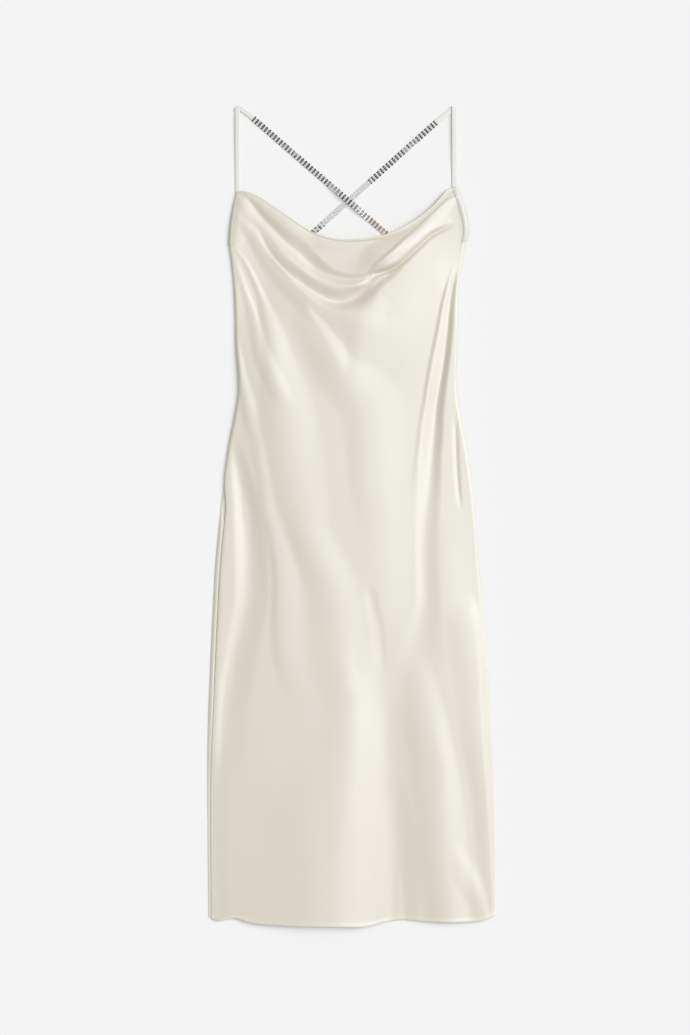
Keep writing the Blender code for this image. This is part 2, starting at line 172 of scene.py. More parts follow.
# Outline: x of each side at a drop
LEFT_SIDE = [Edge(*row) for row in (
    (138, -183.0), (175, -190.8), (206, -194.6), (224, -195.0), (247, -191.8), (290, -187.4),
    (330, -185.6), (375, -184.8), (466, -181.4), (503, -187.6), (543, -195.6), (606, -204.1),
    (676, -211.9), (727, -216.7), (810, -221.4), (916, -226.2), (1012, -229.4), (1142, -229.4),
    (1297, -227.8),
)]
RIGHT_SIDE = [Edge(*row) for row in (
    (129, 169.0), (160, 179.4), (206, 187.0), (224, 182.6), (247, 179.4), (290, 173.0), (375, 170.8),
    (466, 170.2), (503, 176.1), (543, 183.6), (606, 193.2), (676, 200.4), (727, 204.1), (810, 210.8),
    (916, 219.1), (1012, 224.6), (1142, 229.4), (1297, 229.4),
)]
# Top edge of the front, from strap to strap
NECK = [Point(*row) for row in (
    (-184, 138), (-168, 138), (-143, 148.5), (-128, 159), (-112, 169.5), (-96, 181), (-80, 192), (-63, 202),
    (-45, 209), (-26, 213.5), (0, 215), (24, 213), (54, 208), (88, 194), (118, 174), (137, 157), (157, 136),
    (172, 129),
)]
# Lower edge of the front, from side to side
HEM = [Point(*row) for row in (
    (-229, 1300), (-210, 1304), (-191, 1300), (-157, 1308), (-116, 1311), (-21, 1312.8), (30, 1312.6),
    (56, 1306), (75, 1303), (131, 1306), (182, 1306), (214, 1303), (230, 1296),
)]
# Top edge of the back, from underarm to underarm
BACK_TOP = [Point(*row) for row in (
    (-195, 222), (-100, 227), (0, 229), (100, 226), (187, 212),
)]

# Broad form of the front: its height above the base at nine places across, section by section
SECTIONS = [Section(*row) for row in (
    (140, 0, 0, 0, 0, 0, 1.5, 4, 3, 2.6),
    (200, 1.5, 1, 2, 3, 3.4, 4.4, 5, 3.5, 3.2),
    (230, 1.2, 0.9, 2.4, 3.8, 4.5, 5.8, 6.2, 4.3, 3),
    (260, 1, 0.7, 2.2, 3.8, 5, 7, 7.2, 5.6, 2.8),
    (310, 1.4, 1, 3, 4.9, 6.8, 8.3, 7.6, 5.6, 3.8),
    (360, 1.8, 3.3, 4.3, 5.7, 7.5, 8, 7.3, 5.9, 4.8),
    (410, 2.8, 4.9, 5.2, 6.2, 7.4, 7.1, 6.7, 5.7, 4.6),
    (510, 2.2, 4.8, 5.9, 6.3, 6.7, 6.7, 5.7, 4.5, 4.1),
    (610, 0.5, 3.2, 5.2, 6.3, 6.8, 7, 5.4, 4.2, 3.6),
    (710, 0.6, 2.7, 4.5, 6, 6.5, 6.8, 4.9, 4.8, 3.5),
    (810, 0.5, 2.6, 4.6, 6.1, 6.6, 6, 4.7, 5.2, 3),
    (960, 0.2, 2.6, 4.7, 6.4, 7.6, 3, 4.2, 4.4, 2.6),
    (1110, 0, 2.5, 4.9, 6.9, 7, 1.5, 3.5, 3, 1.8),
    (1297, 0, 2.5, 4.4, 6.5, 5.9, 0.9, 2.1, 2.6, 1.6),
)]

# Folds of the front.  Each one is a ridge that runs through its rows: the height of the crest, and how far
# the cloth takes to fall to the left and to the right of someone who walks along it.  A negative height is
# a hollow.
FOLDS = {
    "neck edge": (
        (-168, 137, 0.8, 5, 13), (-143, 148.5, 1.2, 5, 22), (-112, 169, 1.6, 6, 30), (-80, 192, 1.6, 6, 32),
        (-50, 207, 1.5, 6, 30), (-26, 213, 1.4, 6, 26), (0, 214, 1.4, 6, 20), (24, 211, 1.5, 6, 14),
        (40, 208, 1.7, 5, 11), (54, 204.5, 2, 4, 10), (70, 198, 2.2, 4, 11), (85, 190.5, 2.4, 4, 11),
        (101, 181, 2.4, 4, 11), (115, 170.5, 2.4, 4, 10), (127, 160, 2.2, 4, 9.5), (137, 151, 2, 4, 9),
        (147, 140, 1.6, 4, 8.5), (157, 130, 0.8, 4, 8),
    ),
    "inside of the neck": (
        (-168, 141, 0.3, 8, 6), (-158, 148, 0.8, 12, 9), (-145, 159.5, 1.6, 20, 12),
        (-128, 177, 2.2, 28, 14), (-110, 192, 2.2, 32, 16), (-100, 200.5, 1.9, 32, 17),
        (-90, 210, 1.4, 30, 18), (-80, 218.5, 0.8, 26, 18), (-70, 228, 0.3, 22, 16), (-62, 236, 0, 16, 14),
    ),
    "valley inside the neck": (
        (-112, 213, 0, 16, 8), (-100, 222, -0.8, 19, 9), (-90, 230, -1.5, 20, 10), (-80, 239, -2.1, 20, 10),
        (-70, 250, -2.6, 20, 10), (-60, 259, -3, 19, 11), (-50, 265.5, -2.7, 17, 11),
        (-35, 272.5, -2.2, 13, 11), (-20, 276.5, -2, 11, 11), (0, 279, -2, 10, 11), (20, 278, -2.1, 10, 11),
        (30, 275, -2.4, 10, 10), (40, 271.5, -2.8, 9, 6), (50, 269, -2.4, 8, 5), (60, 267, -1.2, 6, 4),
        (68, 265, 0, 5, 4),
    ),
    "rise to the strap fold": (
        (4, 268, 0, 16, 6), (16, 266, 0.4, 24, 7), (26, 262, 1, 30, 9), (36, 256.5, 1.9, 34, 11),
        (45, 250.5, 2.7, 37, 14), (54, 244, 3.1, 37, 18), (63, 237, 3, 34, 22), (76, 225.5, 2.6, 27, 26),
        (92, 211, 2.1, 20, 27), (106, 199, 1.4, 14, 24), (118, 187.5, 0.6, 9, 18), (130, 176, 0, 7, 14),
    ),
    "first cowl fold": (
        (-172, 155, 0.7, 10, 14), (-160, 172, 0.7, 12, 18), (-150, 186, 1, 12, 19),
        (-138, 200, 1.3, 13, 20), (-124, 218, 1.9, 14, 22), (-110, 237, 2.8, 17, 23),
        (-100, 247, 3.2, 18, 23), (-90, 256, 3.4, 18, 23), (-78, 264, 3.2, 16, 23),
        (-68, 269.5, 2.7, 14, 24), (-55, 275.5, 2, 12, 26), (-38, 281.5, 1.4, 10, 28),
        (-20, 287.5, 0.9, 10, 29), (0, 290.5, 0.7, 10, 30), (18, 288.5, 0.8, 10, 24),
        (32, 282.5, 1.4, 9, 10), (44, 276, 1.8, 8, 5), (56, 270, 1.5, 6, 4), (66, 265, 0.8, 5, 3),
        (74, 260, 0, 4, 3),
    ),
    "pocket under the first cowl fold": (
        (-110, 249, 0, 8, 4), (-90, 268, -0.5, 11, 7), (-65, 292, -1.4, 16, 10), (-40, 309.5, -3.2, 22, 12),
        (-22, 315.5, -5, 25, 12), (-6, 314, -5.8, 26, 12), (5, 309.5, -6.2, 24, 15),
        (14, 302.5, -6, 20, 18), (22, 294, -5.2, 14, 20), (30, 286.5, -4.3, 11, 19),
        (38, 280.5, -3.6, 9, 17), (47, 274.5, -3.2, 8, 15), (56, 269.5, -2.8, 7, 14),
        (66, 264.5, -2, 6, 11), (76, 259, -0.8, 5, 8), (82, 256, 0, 4, 6),
    ),
    "second cowl fold": (
        (-176, 184, 0, 5, 10), (-165, 195, 1, 9, 14), (-155, 207, 1.4, 12, 16), (-146, 221, 1.4, 9, 18),
        (-138, 234, 1.4, 8, 20), (-127, 248, 1.4, 7, 24), (-114, 262, 1.4, 7, 26), (-99, 277, 1.5, 7, 28),
        (-79, 296.5, 1.6, 8, 30), (-59, 314, 1.5, 9, 34), (-40, 325, 1.2, 10, 38), (-20, 332, 1.2, 11, 46),
        (0, 334, 1.3, 11, 56), (14, 331.5, 1.3, 11, 56), (26, 325, 1, 10, 46), (38, 314, 0.5, 9, 30),
        (48, 302, 0, 8, 20),
    ),
    "fold from the right strap": (
        (160, 149, 0.8, 12, 4), (146, 160, 1.3, 17, 5), (130, 175.5, 1.4, 22, 5), (112, 193.5, 1.6, 24, 5),
        (98, 206, 1.8, 24, 5), (84, 218, 2.2, 22, 5), (72, 229, 2.6, 20, 5), (60, 240, 2.6, 18, 5),
        (50, 248.5, 2.4, 17, 5), (40, 257, 1.8, 12, 4), (32, 265, 0.6, 8, 4),
    ),
    "lower edge of the strap fold": (
        (162, 184, 0, 5, 16), (150, 189, 0.8, 5, 20), (140, 194, 1.2, 5, 22), (130, 200, 1.4, 4, 22),
        (120, 208, 1.5, 4, 20), (110, 218, 1.5, 4, 18), (100, 227, 1.6, 4, 16), (90, 236.5, 1.8, 4, 15),
        (80, 246, 2, 4, 13), (70, 252.5, 2.3, 4, 11), (60, 257.5, 2.3, 3, 9), (50, 262, 1.6, 3, 7),
        (42, 265, 0.6, 3, 4), (36, 267, 0, 3, 4),
    ),
    "hollow below the strap fold": (
        (162, 191, 0, 6, 4), (150, 196, -0.7, 7, 3), (140, 200.5, -1.1, 7, 3), (130, 206.5, -1.5, 6, 3),
        (120, 214, -1.8, 6, 3), (110, 224, -2, 6, 3), (100, 233, -2.3, 6, 3), (90, 243, -2.9, 6, 3),
        (80, 252, -3.7, 6, 3), (70, 258.5, -4.4, 6, 3), (60, 263.5, -4.6, 6, 3), (50, 267, -3.6, 5, 3),
        (42, 269, -2, 5, 3), (34, 270, 0, 5, 3),
    ),
    "underarm to hip": (
        (-187, 229, 0, 3, 4), (-171, 248, 0.4, 5, 6), (-159, 270, 0.6, 5, 8), (-150, 290, 0.7, 6, 8),
        (-141, 315, 0.9, 10, 10), (-134, 342, 1.2, 18, 16), (-127, 372, 1.5, 26, 20),
        (-122, 402, 1.6, 34, 24), (-117, 432, 1.7, 44, 30), (-113, 462, 1.8, 52, 38),
        (-108, 505, 1.8, 58, 46), (-104, 550, 1.7, 62, 46), (-95, 600, 1.5, 60, 44),
        (-84, 650, 1.4, 55, 40), (-72, 692, 1.4, 45, 34), (-50, 735, 1.5, 45, 38), (-32, 780, 1.4, 50, 44),
        (-24, 830, 1.2, 50, 48), (-19, 880, 0.9, 30, 48), (-12, 925, 0.6, 30, 50), (0, 960, 0, 30, 50),
    ),
    "middle of the bodice": (
        (-76, 318, 0, 8, 30), (-66, 338, 1, 12, 38), (-50, 364, 1.6, 20, 44), (-34, 393, 1.9, 26, 46),
        (-18, 423, 1.9, 32, 48), (-3, 443, 1.7, 50, 48), (10, 462, 1.5, 60, 46), (20, 485, 1.3, 70, 44),
        (23, 520, 1.2, 70, 40), (23, 560, 1, 70, 34), (22, 600, 0.7, 60, 30), (26, 640, 0.3, 50, 26),
        (34, 680, 0, 40, 24),
    ),
    "small fold under the cowl": (
        (28, 330, 0, 80, 50), (25, 350, 0.8, 80, 50), (19, 375, 0.9, 72, 34), (13, 400, 0.7, 60, 24),
        (8, 425, 0.3, 44, 16), (6, 440, 0, 40, 12),
    ),
    "thin underarm fold": (
        (-188, 240, 0, 3, 4), (-178, 270, 0.4, 5, 8), (-168, 298, 0.6, 5, 10), (-158, 325, 0.8, 6, 14),
        (-152, 350, 0.9, 9, 16), (-148, 376, 1, 13, 16), (-143, 400, 1.15, 18, 16),
        (-135, 421, 1.1, 20, 16), (-125, 441, 0.9, 22, 18), (-112, 462, 0.6, 20, 20), (-98, 485, 0, 15, 20),
    ),
    "rolled left edge": (
        (-172, 142, 0, 14, 6), (-176, 160, 0.6, 26, 8), (-179, 182, 0.8, 30, 9), (-182, 206, 0.6, 22, 9),
        (-184, 228, 0.2, 10, 6), (-182, 250, 0, 6, 4),
    ),
    "small fold at the left edge": (
        (-184, 372, 0, 4, 2), (-181, 395, 0.4, 7, 5), (-177.5, 420, 0.7, 9, 8), (-175, 440, 0.9, 12, 8),
        (-171, 460, 1.1, 16, 10), (-167, 482, 1.2, 18, 12), (-162, 505, 0.7, 18, 12),
        (-156, 530, 0, 14, 12),
    ),
    "waist to hip": (
        (-158, 500, 0, 10, 14), (-150, 540, 0.5, 12, 14), (-142, 590, 0.7, 14, 14),
        (-135, 640, 0.7, 18, 14), (-124, 690, 0.8, 26, 14), (-116, 740, 1, 34, 14),
        (-114, 800, 1.1, 40, 16), (-112, 860, 1, 40, 20), (-98, 910, 0.6, 36, 24), (-82, 950, 0, 30, 24),
    ),
    "left hip": (
        (-197, 560, 0, 14, 12), (-200, 600, 0.6, 23, 13), (-202, 650, 0.9, 33, 15),
        (-205, 700, 0.95, 38, 16), (-208, 745, 0.95, 38, 16), (-212, 790, 1, 35, 15),
        (-216, 840, 0.9, 30, 13), (-219, 890, 0.8, 27, 12), (-221, 940, 0.8, 24, 11),
        (-223, 990, 0.6, 21, 10), (-223, 1040, 0.4, 17, 10), (-223, 1090, 0, 16, 10),
    ),
    "hollow along the left hip": (
        (-190, 535, 0, 10, 6), (-184, 560, -0.6, 14, 10), (-175, 600, -1.6, 20, 18),
        (-166, 650, -2.2, 24, 24), (-161, 700, -2.4, 28, 28), (-160, 745, -2.3, 30, 28),
        (-163, 790, -2.1, 32, 26), (-171, 830, -1.9, 34, 24), (-181, 870, -1.6, 36, 22),
        (-191, 915, -1.4, 38, 20), (-198, 960, -1.1, 40, 18), (-203, 1005, -0.8, 42, 15),
        (-206, 1050, -0.3, 44, 12), (-208, 1080, 0, 44, 12),
    ),
    "right bodice line": (
        (166, 250, 0, 4, 3), (160, 272, 0.4, 8, 4), (152, 300, 1.1, 10, 5), (145, 330, 1.2, 13, 5),
        (139.5, 360, 1.2, 14, 5), (132.5, 390, 1.1, 16, 4), (127, 420, 1, 17, 5), (122, 450, 0.9, 18, 5),
        (118, 480, 0.8, 18, 6), (113, 510, 0.6, 18, 7), (109, 550, 0.5, 18, 8), (104, 590, 0.3, 18, 8),
        (100, 620, 0, 18, 8),
    ),
    "right armhole edge": (
        (166, 132, 0, 3, 8), (172, 148, 0.3, 3, 9), (177, 162, 0.35, 3, 10), (181, 182, 0.35, 3, 10),
        (183.5, 204, 0.35, 3, 10), (180, 222, 0.3, 3, 8), (176.5, 240, 0, 3, 6),
    ),
    "hollow along the right side": (
        (167, 262, 0, 5, 6), (163, 280, -1.2, 6, 6), (159.5, 300, -2.2, 7, 7), (155.5, 330, -3.2, 9, 9),
        (152, 370, -3.7, 10, 12), (147.5, 410, -3.9, 10, 14), (142.5, 440, -3.9, 11, 15),
        (136, 480, -3.9, 13, 17), (132.5, 520, -3.4, 15, 19), (129, 560, -2.8, 16, 21),
        (125.5, 600, -2.2, 19, 20), (120, 650, -1.6, 23, 18), (117, 690, -1.3, 26, 16),
        (117, 740, -1.2, 26, 16), (119, 790, -1.1, 26, 18), (112, 830, -0.9, 34, 24),
        (100, 870, -0.6, 50, 28), (92, 910, -0.3, 50, 30), (88, 960, 0, 50, 30),
    ),
    "right edge wrinkle": (
        (166, 495, 0, 4, 4), (167, 530, -0.8, 5, 5), (168, 567, -1, 5, 5), (171, 615, -0.9, 5, 5),
        (175, 645, 0, 5, 5),
    ),
    "right of the skirt": (
        (100, 880, 0, 24, 30), (108, 905, 0.4, 26, 36), (116, 940, 0.9, 28, 44), (124, 975, 1.2, 30, 48),
        (132, 1010, 1.5, 30, 50), (140, 1045, 1.8, 30, 50), (144, 1090, 2, 34, 50),
        (146, 1130, 2.3, 38, 48), (147, 1180, 2.5, 42, 46), (150, 1220, 2.5, 42, 46),
        (155, 1270, 2.4, 38, 46), (158, 1311, 2.4, 38, 46),
    ),
    "right side of the skirt": (
        (182, 785, 0, 16, 30), (193, 822, 1.4, 16, 44), (199, 870, 1.7, 16, 46), (203, 920, 1.6, 14, 42),
        (206, 975, 1.5, 12, 40), (210, 1030, 1.6, 10, 36), (215, 1080, 1.5, 8, 30),
        (219, 1130, 1.35, 6, 28), (222, 1180, 1.15, 5, 26), (225, 1230, 0.9, 3, 23),
        (227, 1275, 0.4, 2, 16),
    ),
    "middle of the skirt": (
        (-8, 905, 0, 40, 30), (2, 955, 0.4, 48, 50), (5, 1000, 1, 52, 70), (-2, 1050, 1.4, 58, 90),
        (-12, 1100, 2, 60, 110), (-20, 1150, 2.5, 64, 130), (-29, 1200, 3, 70, 150),
        (-33, 1250, 3.2, 74, 160), (-33, 1316, 3.2, 74, 160),
    ),
    "hollow right of the middle of the skirt": (
        (66, 1080, 0, 20, 26), (72, 1140, -0.8, 30, 28), (76, 1210, -1.1, 36, 30), (78, 1316, -1.2, 36, 30),
    ),
    "crease at the right corner of the hem": (
        (168, 1180, 0, 10, 10), (173, 1204, 0.5, 18, 18), (182, 1226, 0.9, 22, 24),
        (193, 1246, 1.1, 20, 26), (202, 1263, 1.05, 17, 26), (209, 1280, 0.8, 13, 26),
        (214, 1297, 0.5, 10, 24),
    ),
    "crease at the hip": (
        (28, 765, 0, 10, 10), (32, 785, -0.5, 12, 14), (35, 805, -0.5, 12, 14), (44, 835, -0.4, 10, 18),
        (47, 870, -0.4, 10, 18), (49, 910, 0, 10, 18),
    ),
    "flare at the left of the hem": (
        (-222, 1304, 0, 8, 3), (-213, 1307, 2, 11, 3), (-200, 1307, 2, 11, 3), (-186, 1303, 0, 8, 3),
    ),
}
FOLD_STEPS = 5               # points worked out between two rows of a fold

# The rolled neck edge: how high and how wide the roll is along the neck, and how deep its lower side is
NECK_ROLL = [Roll(*row) for row in (
    (-184, 0.2, 2.0, 0.1), (-112, 0.3, 2.4, 0.1), (-26, 0.4, 3.0, 0.3), (54, 0.3, 4.6, 0.6),
    (88, 0.2, 5.4, 0.9), (137, 0.2, 5.4, 0.9), (157, 0.2, 4.6, 0.6), (172, 0.2, 2.6, 0.3),
)]
# Distance between the rows of the front, closer where the cloth is finer
ROW_SPACING = [Spacing(*row) for row in (
    (138.0, 0.3), (140.0, 1.0), (150.0, 1.5), (175.0, 2.4), (345.0, 2.8), (430.0, 5.4), (1270.0, 7.2),
    (1288.0, 2.2), (1296.0, 0.8), (1297.0, 0.3),
)]
BINDING_SPACING = [Spacing(*row) for row in (
    (NECK_LEVEL, 0.3), (NECK_LEVEL + 2, 1.2), (UNDERARM_LEVEL - 2, 1.6), (UNDERARM_LEVEL, 0.3),
)]

STRAPS = (
    Strap("left", Point(-181.8, 150.0), Point(-182.0, 2.6), Point(-155.6, 21.6), 7.6, 0.6, 0.2),
    Strap("right", Point(165.3, 142.0), Point(165.0, 4.4), Point(134.6, 28.4), 8.4, 0.9, 0.6),
)
BANDS = (
    Band("left", Point(-155.6, 21.8), Point(96.0, 240.0), Stretch(400.0, 400.0), Stretch(226.0, 262.0), (
        Rise(0.0, 0.0), Rise(0.46, 0.0), Rise(0.54, 2.6), Rise(0.66, 2.6), Rise(0.74, 0.0), Rise(0.84, 0.0),
        Rise(0.91, 1.5), Rise(1.0, 1.5),
    )),
    Band("right", Point(134.4, 28.4), Point(-100.6, 239.2), Stretch(138.0, 246.0), Stretch(245.0, 300.0), (
        Rise(0.0, 0.0), Rise(0.84, 0.0), Rise(0.91, 1.5), Rise(1.0, 1.5),
    )),
)
# Profiles of a cup and its stone: radius in shares of the stone's, height in millimetres
CUP = [Ring(*row) for row in ((0.85, 0.0), (1.08, 0.3), (1.08, 0.95), (0.98, 1.1), (0.92, 0.8))]
STONE = [Ring(*row) for row in ((0.96, 0.85), (0.96, 1.05), (0.62, 1.5))]
# Lights, in degrees: how wide each one looks and where it stands
LAMPS = (Lamp("key light", "key", 35, 22, 35), Lamp("overhead light", "overhead", 20, 22, 74))


# ---------------------------------------------------------------------------------------------- settings


def distance(name, description, size):
    """A length that a user may change, with its default in millimetres"""
    return FloatProperty(name=name, description=description, default=size * MM, unit="LENGTH")


def number(name, description, default, unit="NONE"):
    """A plain number that a user may change"""
    return FloatProperty(name=name, description=description, default=default, unit=unit)


def tint(name, description, colour):
    """A colour that a user may change"""
    return FloatVectorProperty(
        name=name, description=description, subtype="COLOR", size=4, default=(*colour, 1.0))


class ClothSizes(bpy.types.PropertyGroup):
    wall: distance("Cloth", "Thickness of the satin", 0.9)
    gap: distance("Gap", "Clearance between pieces that touch", 0.15)
    seam_roll: distance("Seam roll", "How far the back shows beyond the left side seam", 8)
    column: distance("Column", "Distance between the columns of the front", 2.6)
    hem: distance("Hem", "Depth of the turned hem", 6)
    binding: distance("Binding", "Width of the armhole bindings", 8)


class StoneSizes(bpy.types.PropertyGroup):
    stone: distance("Stone", "Width of a stone in its cup", 2.9)
    pitch: distance("Pitch", "Distance between stones along a band", 3.17)
    row_pitch: distance("Row pitch", "Distance between the rows of a band", 3.3)
    # the stones' painted glint fades over this length
    blend: distance("Blend", "Length over which the stones fade", 10)
    rows: IntProperty(name="Rows", description="Rows of stones in a band", default=3, min=1)
    # painted glint: the seed picks which stones are painted brighter by chance
    seed: IntProperty(name="Seed", description="Which way the stones catch the light", default=5)


class StitchSizes(bpy.types.PropertyGroup):
    length: distance("Length", "Length of a stitch", 2.0)
    pitch: distance("Pitch", "Distance from stitch to stitch", 2.7)
    thread: distance("Thread", "Thickness of the thread", 0.3)


class Colours(bpy.types.PropertyGroup):
    satin: tint("Satin", "Colour of the satin", (0.70, 0.645, 0.535))
    binding: tint("Bindings", "Colour of the armhole bindings", (0.635, 0.588, 0.498))
    strap: tint("Straps", "Colour of the straps", (0.715, 0.675, 0.61))
    thread: tint("Thread", "Colour of the thread", (0.60, 0.55, 0.46))
    metal: tint("Cups", "Colour of the stones' cups", (0.80, 0.80, 0.81))
    floor: tint("Floor", "Colour of the surface", (0.86, 0.86, 0.86))


class StageSizes(bpy.types.PropertyGroup):
    lens: number("Lens", "Focal length", 85.0, "CAMERA")
    view_height: number("View", "Length of the surface that the view takes in", 1.656, "LENGTH")
    key: number("Key", "Strength of the low light from the right", 1.9)
    overhead: number("Overhead", "Strength of the light from above", 1.05)
    room: number("Room", "Strength of the light from all round", 0.384)


class DressSettings(bpy.types.PropertyGroup):
    cloth: PointerProperty(type=ClothSizes)
    stones: PointerProperty(type=StoneSizes)
    stitches: PointerProperty(type=StitchSizes)
    colours: PointerProperty(type=Colours)
    stage: PointerProperty(type=StageSizes)


# ------------------------------------------------------------------------------------------------- shapes


def ease(value):
    """0 to 1 with a soft start and a soft end"""
    value = np.clip(value, 0.0, 1.0)
    return value * value * (3.0 - 2.0 * value)


def unit(vector):
    return vector / np.linalg.norm(vector, axis=-1, keepdims=True)


def spline(positions, values, at):
    """A smooth curve through the values, read at the given positions"""
    positions = np.asarray(positions, dtype=float)
    values = np.asarray(values, dtype=float)
    at = np.clip(np.asarray(at, dtype=float), positions[0], positions[-1])
    slopes = np.gradient(values, positions)
    span = np.clip(np.searchsorted(positions, at, side="right") - 1, 0, len(positions) - 2)
    width = positions[span + 1] - positions[span]
    t = (at - positions[span]) / width
    return (
        values[span] * (1 + 2 * t) * (1 - t) ** 2
        + slopes[span] * width * t * (1 - t) ** 2
        + values[span + 1] * t * t * (3 - 2 * t)
        - slopes[span + 1] * width * t * t * (1 - t)
    )


def column(table, name):
    return [getattr(row, name) for row in table]


def side(table, drop):
    """x of one side of the dress at a drop"""
    return spline(column(table, "drop"), column(table, "x"), drop)


def edge(table, x):
    """Drop of the neck, the hem or the back's top edge at an x"""
    return spline(column(table, "x"), column(table, "drop"), x)


def along_neck(x, name):
    """One of the roll's sizes at an x"""
    return np.interp(x, column(NECK_ROLL, "x"), column(NECK_ROLL, name))


def spaced(table):
    """Positions from the table's first to its last, as far apart as it says"""
    fine = np.linspace(table[0].at, table[-1].at, 20000)
    step = np.interp(fine, column(table, "at"), column(table, "step"))
    passed = np.concatenate(([0], np.cumsum((1 / step[1:] + 1 / step[:-1]) / 2 * np.diff(fine))))
    return np.interp(np.linspace(0, passed[-1], int(round(passed[-1])) + 1), passed, fine)


def edged(width, step):
    """Positions over a width, with a few more close to both ends, for a rounded rim"""
    rim = np.array([0.0, 0.12, 0.4, 1.0])
    inner = np.linspace(rim[-1], width - rim[-1], max(2, int(round((width - 2 * rim[-1]) / step)) + 1))
    return np.concatenate((rim[:-1], inner, width - rim[-2::-1]))


def rim_factor(from_edge, wall):
    """How full the wall is at a distance from the cloth's edge, for a rounded rim"""
    near = np.clip(from_edge / (wall / 2), 0, 1)
    return np.sqrt(1 - (1 - near) ** 2)


def to_edge(x, drop):
    """How far each point of a panel's rows and columns is from the nearest edge"""
    return np.minimum.reduce((x - x[:, :1], x[:, -1:] - x, drop - drop[:1], drop[-1:] - drop))


def trace(rows):
    """The rows of a fold with points worked out between them"""
    rows = np.array(rows, dtype=float)
    knots = np.arange(len(rows))
    at = np.linspace(0, len(rows) - 1, (len(rows) - 1) * FOLD_STEPS + 1)
    return Crest(*(spline(knots, sizes, at) for sizes in rows.T))


def fold_height(crest, x, drop):
    """Height that one fold adds at each point"""
    nearest = np.full(x.shape, np.inf)
    added = np.zeros(x.shape)
    for i in range(len(crest.x) - 1):
        run_x = crest.x[i + 1] - crest.x[i]
        run_drop = crest.drop[i + 1] - crest.drop[i]
        off_x = x - crest.x[i]
        off_drop = drop - crest.drop[i]
        t = np.clip((off_x * run_x + off_drop * run_drop) / (run_x ** 2 + run_drop ** 2), 0, 1)
        gap = np.hypot(off_x - t * run_x, off_drop - t * run_drop)
        on_left = run_x * off_drop - run_drop * off_x < 0
        left, right, height = (
            sizes[i] + t * (sizes[i + 1] - sizes[i]) for sizes in (crest.left, crest.right, crest.height))
        bell = np.clip(1 - (gap / np.where(on_left, left, right)) ** 2, 0, 1) ** 2
        added = np.where(gap < nearest, height * bell, added)
        nearest = np.minimum(gap, nearest)
    return added


def faded(drop):
    """0 to 1 as the left side seam moves out again"""
    return ease((drop - ROLL_FADE) / ROLL_OUT)


def seam_inset(drop, roll):
    """How far the left side seam lies inside the outline"""
    return roll * ease((drop - ROLL_LEVEL) / ROLL_START) * (1 - ROLL_LOSS * faded(drop))


class Front:
    """The front panel's middle surface, in millimetres"""

    def __init__(self, cloth):
        self.wall = cloth.wall / MM
        self.roll = cloth.seam_roll / MM
        self.hem = cloth.hem / MM

    def sides(self, drop):
        return side(LEFT_SIDE, drop) + seam_inset(drop, self.roll), side(RIGHT_SIDE, drop)

    def plan(self, level, across):
        """x and drop of rows and columns: level is a column of drops, across a share of the width"""
        curve = 1 - np.clip((level - NECK_LEVEL) / NECK_CURVE_REACH, 0, 1)
        left, right = side(LEFT_SIDE, NECK_LEVEL), side(RIGHT_SIDE, NECK_LEVEL)
        dip = edge(NECK, left + across * (right - left)) - NECK_LEVEL
        left = self.sides(level + dip[:, :1] * curve)[0]
        right = self.sides(level + dip[:, -1:] * curve)[1]
        x = left + across * (right - left)
        share = (level - NECK_LEVEL) / (HEM_LEVEL - NECK_LEVEL)
        return x, level + dip * curve + (edge(HEM, x) - HEM_LEVEL) * share ** HEM_CURVE_POWER

    def form(self, x, drop):
        """The broad form's height at each point"""
        left, right = self.sides(drop)
        drops = column(SECTIONS, "drop")
        heights = [spline(drops, column(SECTIONS, name), drop) for name in Section._fields[1:]]
        heights = np.stack([heights[0]] + heights + [heights[-1]], axis=-1)
        last = len(Section._fields) - 2
        position = np.clip((x - left) / (right - left), 0, 1) * last
        first = np.minimum(position.astype(int), last - 1)
        t = position - first
        before, start, end, after = (
            np.take_along_axis(heights, (first + i)[..., None], axis=-1)[..., 0] for i in range(4))
        form = start + 0.5 * t * (end - before + t * (
            2 * before - 5 * start + 4 * end - after + t * (3 * (start - end) + after - before)))
        inside = np.clip(np.minimum(x - left, right - x) / EDGE_ROUND, 0, 1)
        return form * (1 - (1 - inside) ** 2)

    def height(self, x, drop):
        folds = sum(fold_height(trace(rows), x, drop) for rows in FOLDS.values())
        settled = (1 - ease((x - self.sides(drop)[0]) / SETTLE_WIDTH)) * faded(drop)
        height = FRONT_BASE - SETTLE_DEPTH * settled + np.maximum(self.form(x, drop) + folds, 0)
        return height + self.neck_roll(x, drop) + self.hem_turn(x, drop)

    def neck_roll(self, x, drop):
        down = drop - edge(NECK, x)
        width = along_neck(x, "width")
        tube = np.sqrt(np.clip(1 - (2 * np.clip(down / width, 0, 1) - 1) ** 2, 0, 1))
        groove = np.exp(-((down - width - NECK_GROOVE_GAP) / NECK_GROOVE_WIDTH) ** 2)
        return along_neck(x, "height") * tube - along_neck(x, "groove") * groove

    def hem_turn(self, x, drop):
        above = edge(HEM, x) - drop - self.hem
        step = 1 - ease((above + HEM_STEP_WIDTH / 2) / HEM_STEP_WIDTH)
        groove = np.exp(-((above + HEM_GROOVE_WIDTH) / HEM_GROOVE_WIDTH) ** 2)
        return HEM_STEP * step - HEM_GROOVE_DEPTH * groove


def place(x, drop, height):
    """Table sizes to model coordinates in metres"""
    return np.stack(np.broadcast_arrays(x, LENGTH / 2 - drop, height), axis=-1) * MM


def seen_from_above(point):
    """A table's point as x and y of the model, in millimetres"""
    return np.array([point.x, LENGTH / 2 - point.drop])


def on_flat_cloth(x, drop):
    """Where each point of a panel lies on the flat cloth, in metres"""
    return np.stack((x, LENGTH - drop), axis=-1) * MM


def normals(points):
    """Upward unit normals of a grid whose rows run down the dress and columns to the right"""
    return unit(np.cross(np.gradient(points, axis=0), np.gradient(points, axis=1)))


def link(item):
    bpy.context.scene.collection.objects.link(item)
    return item


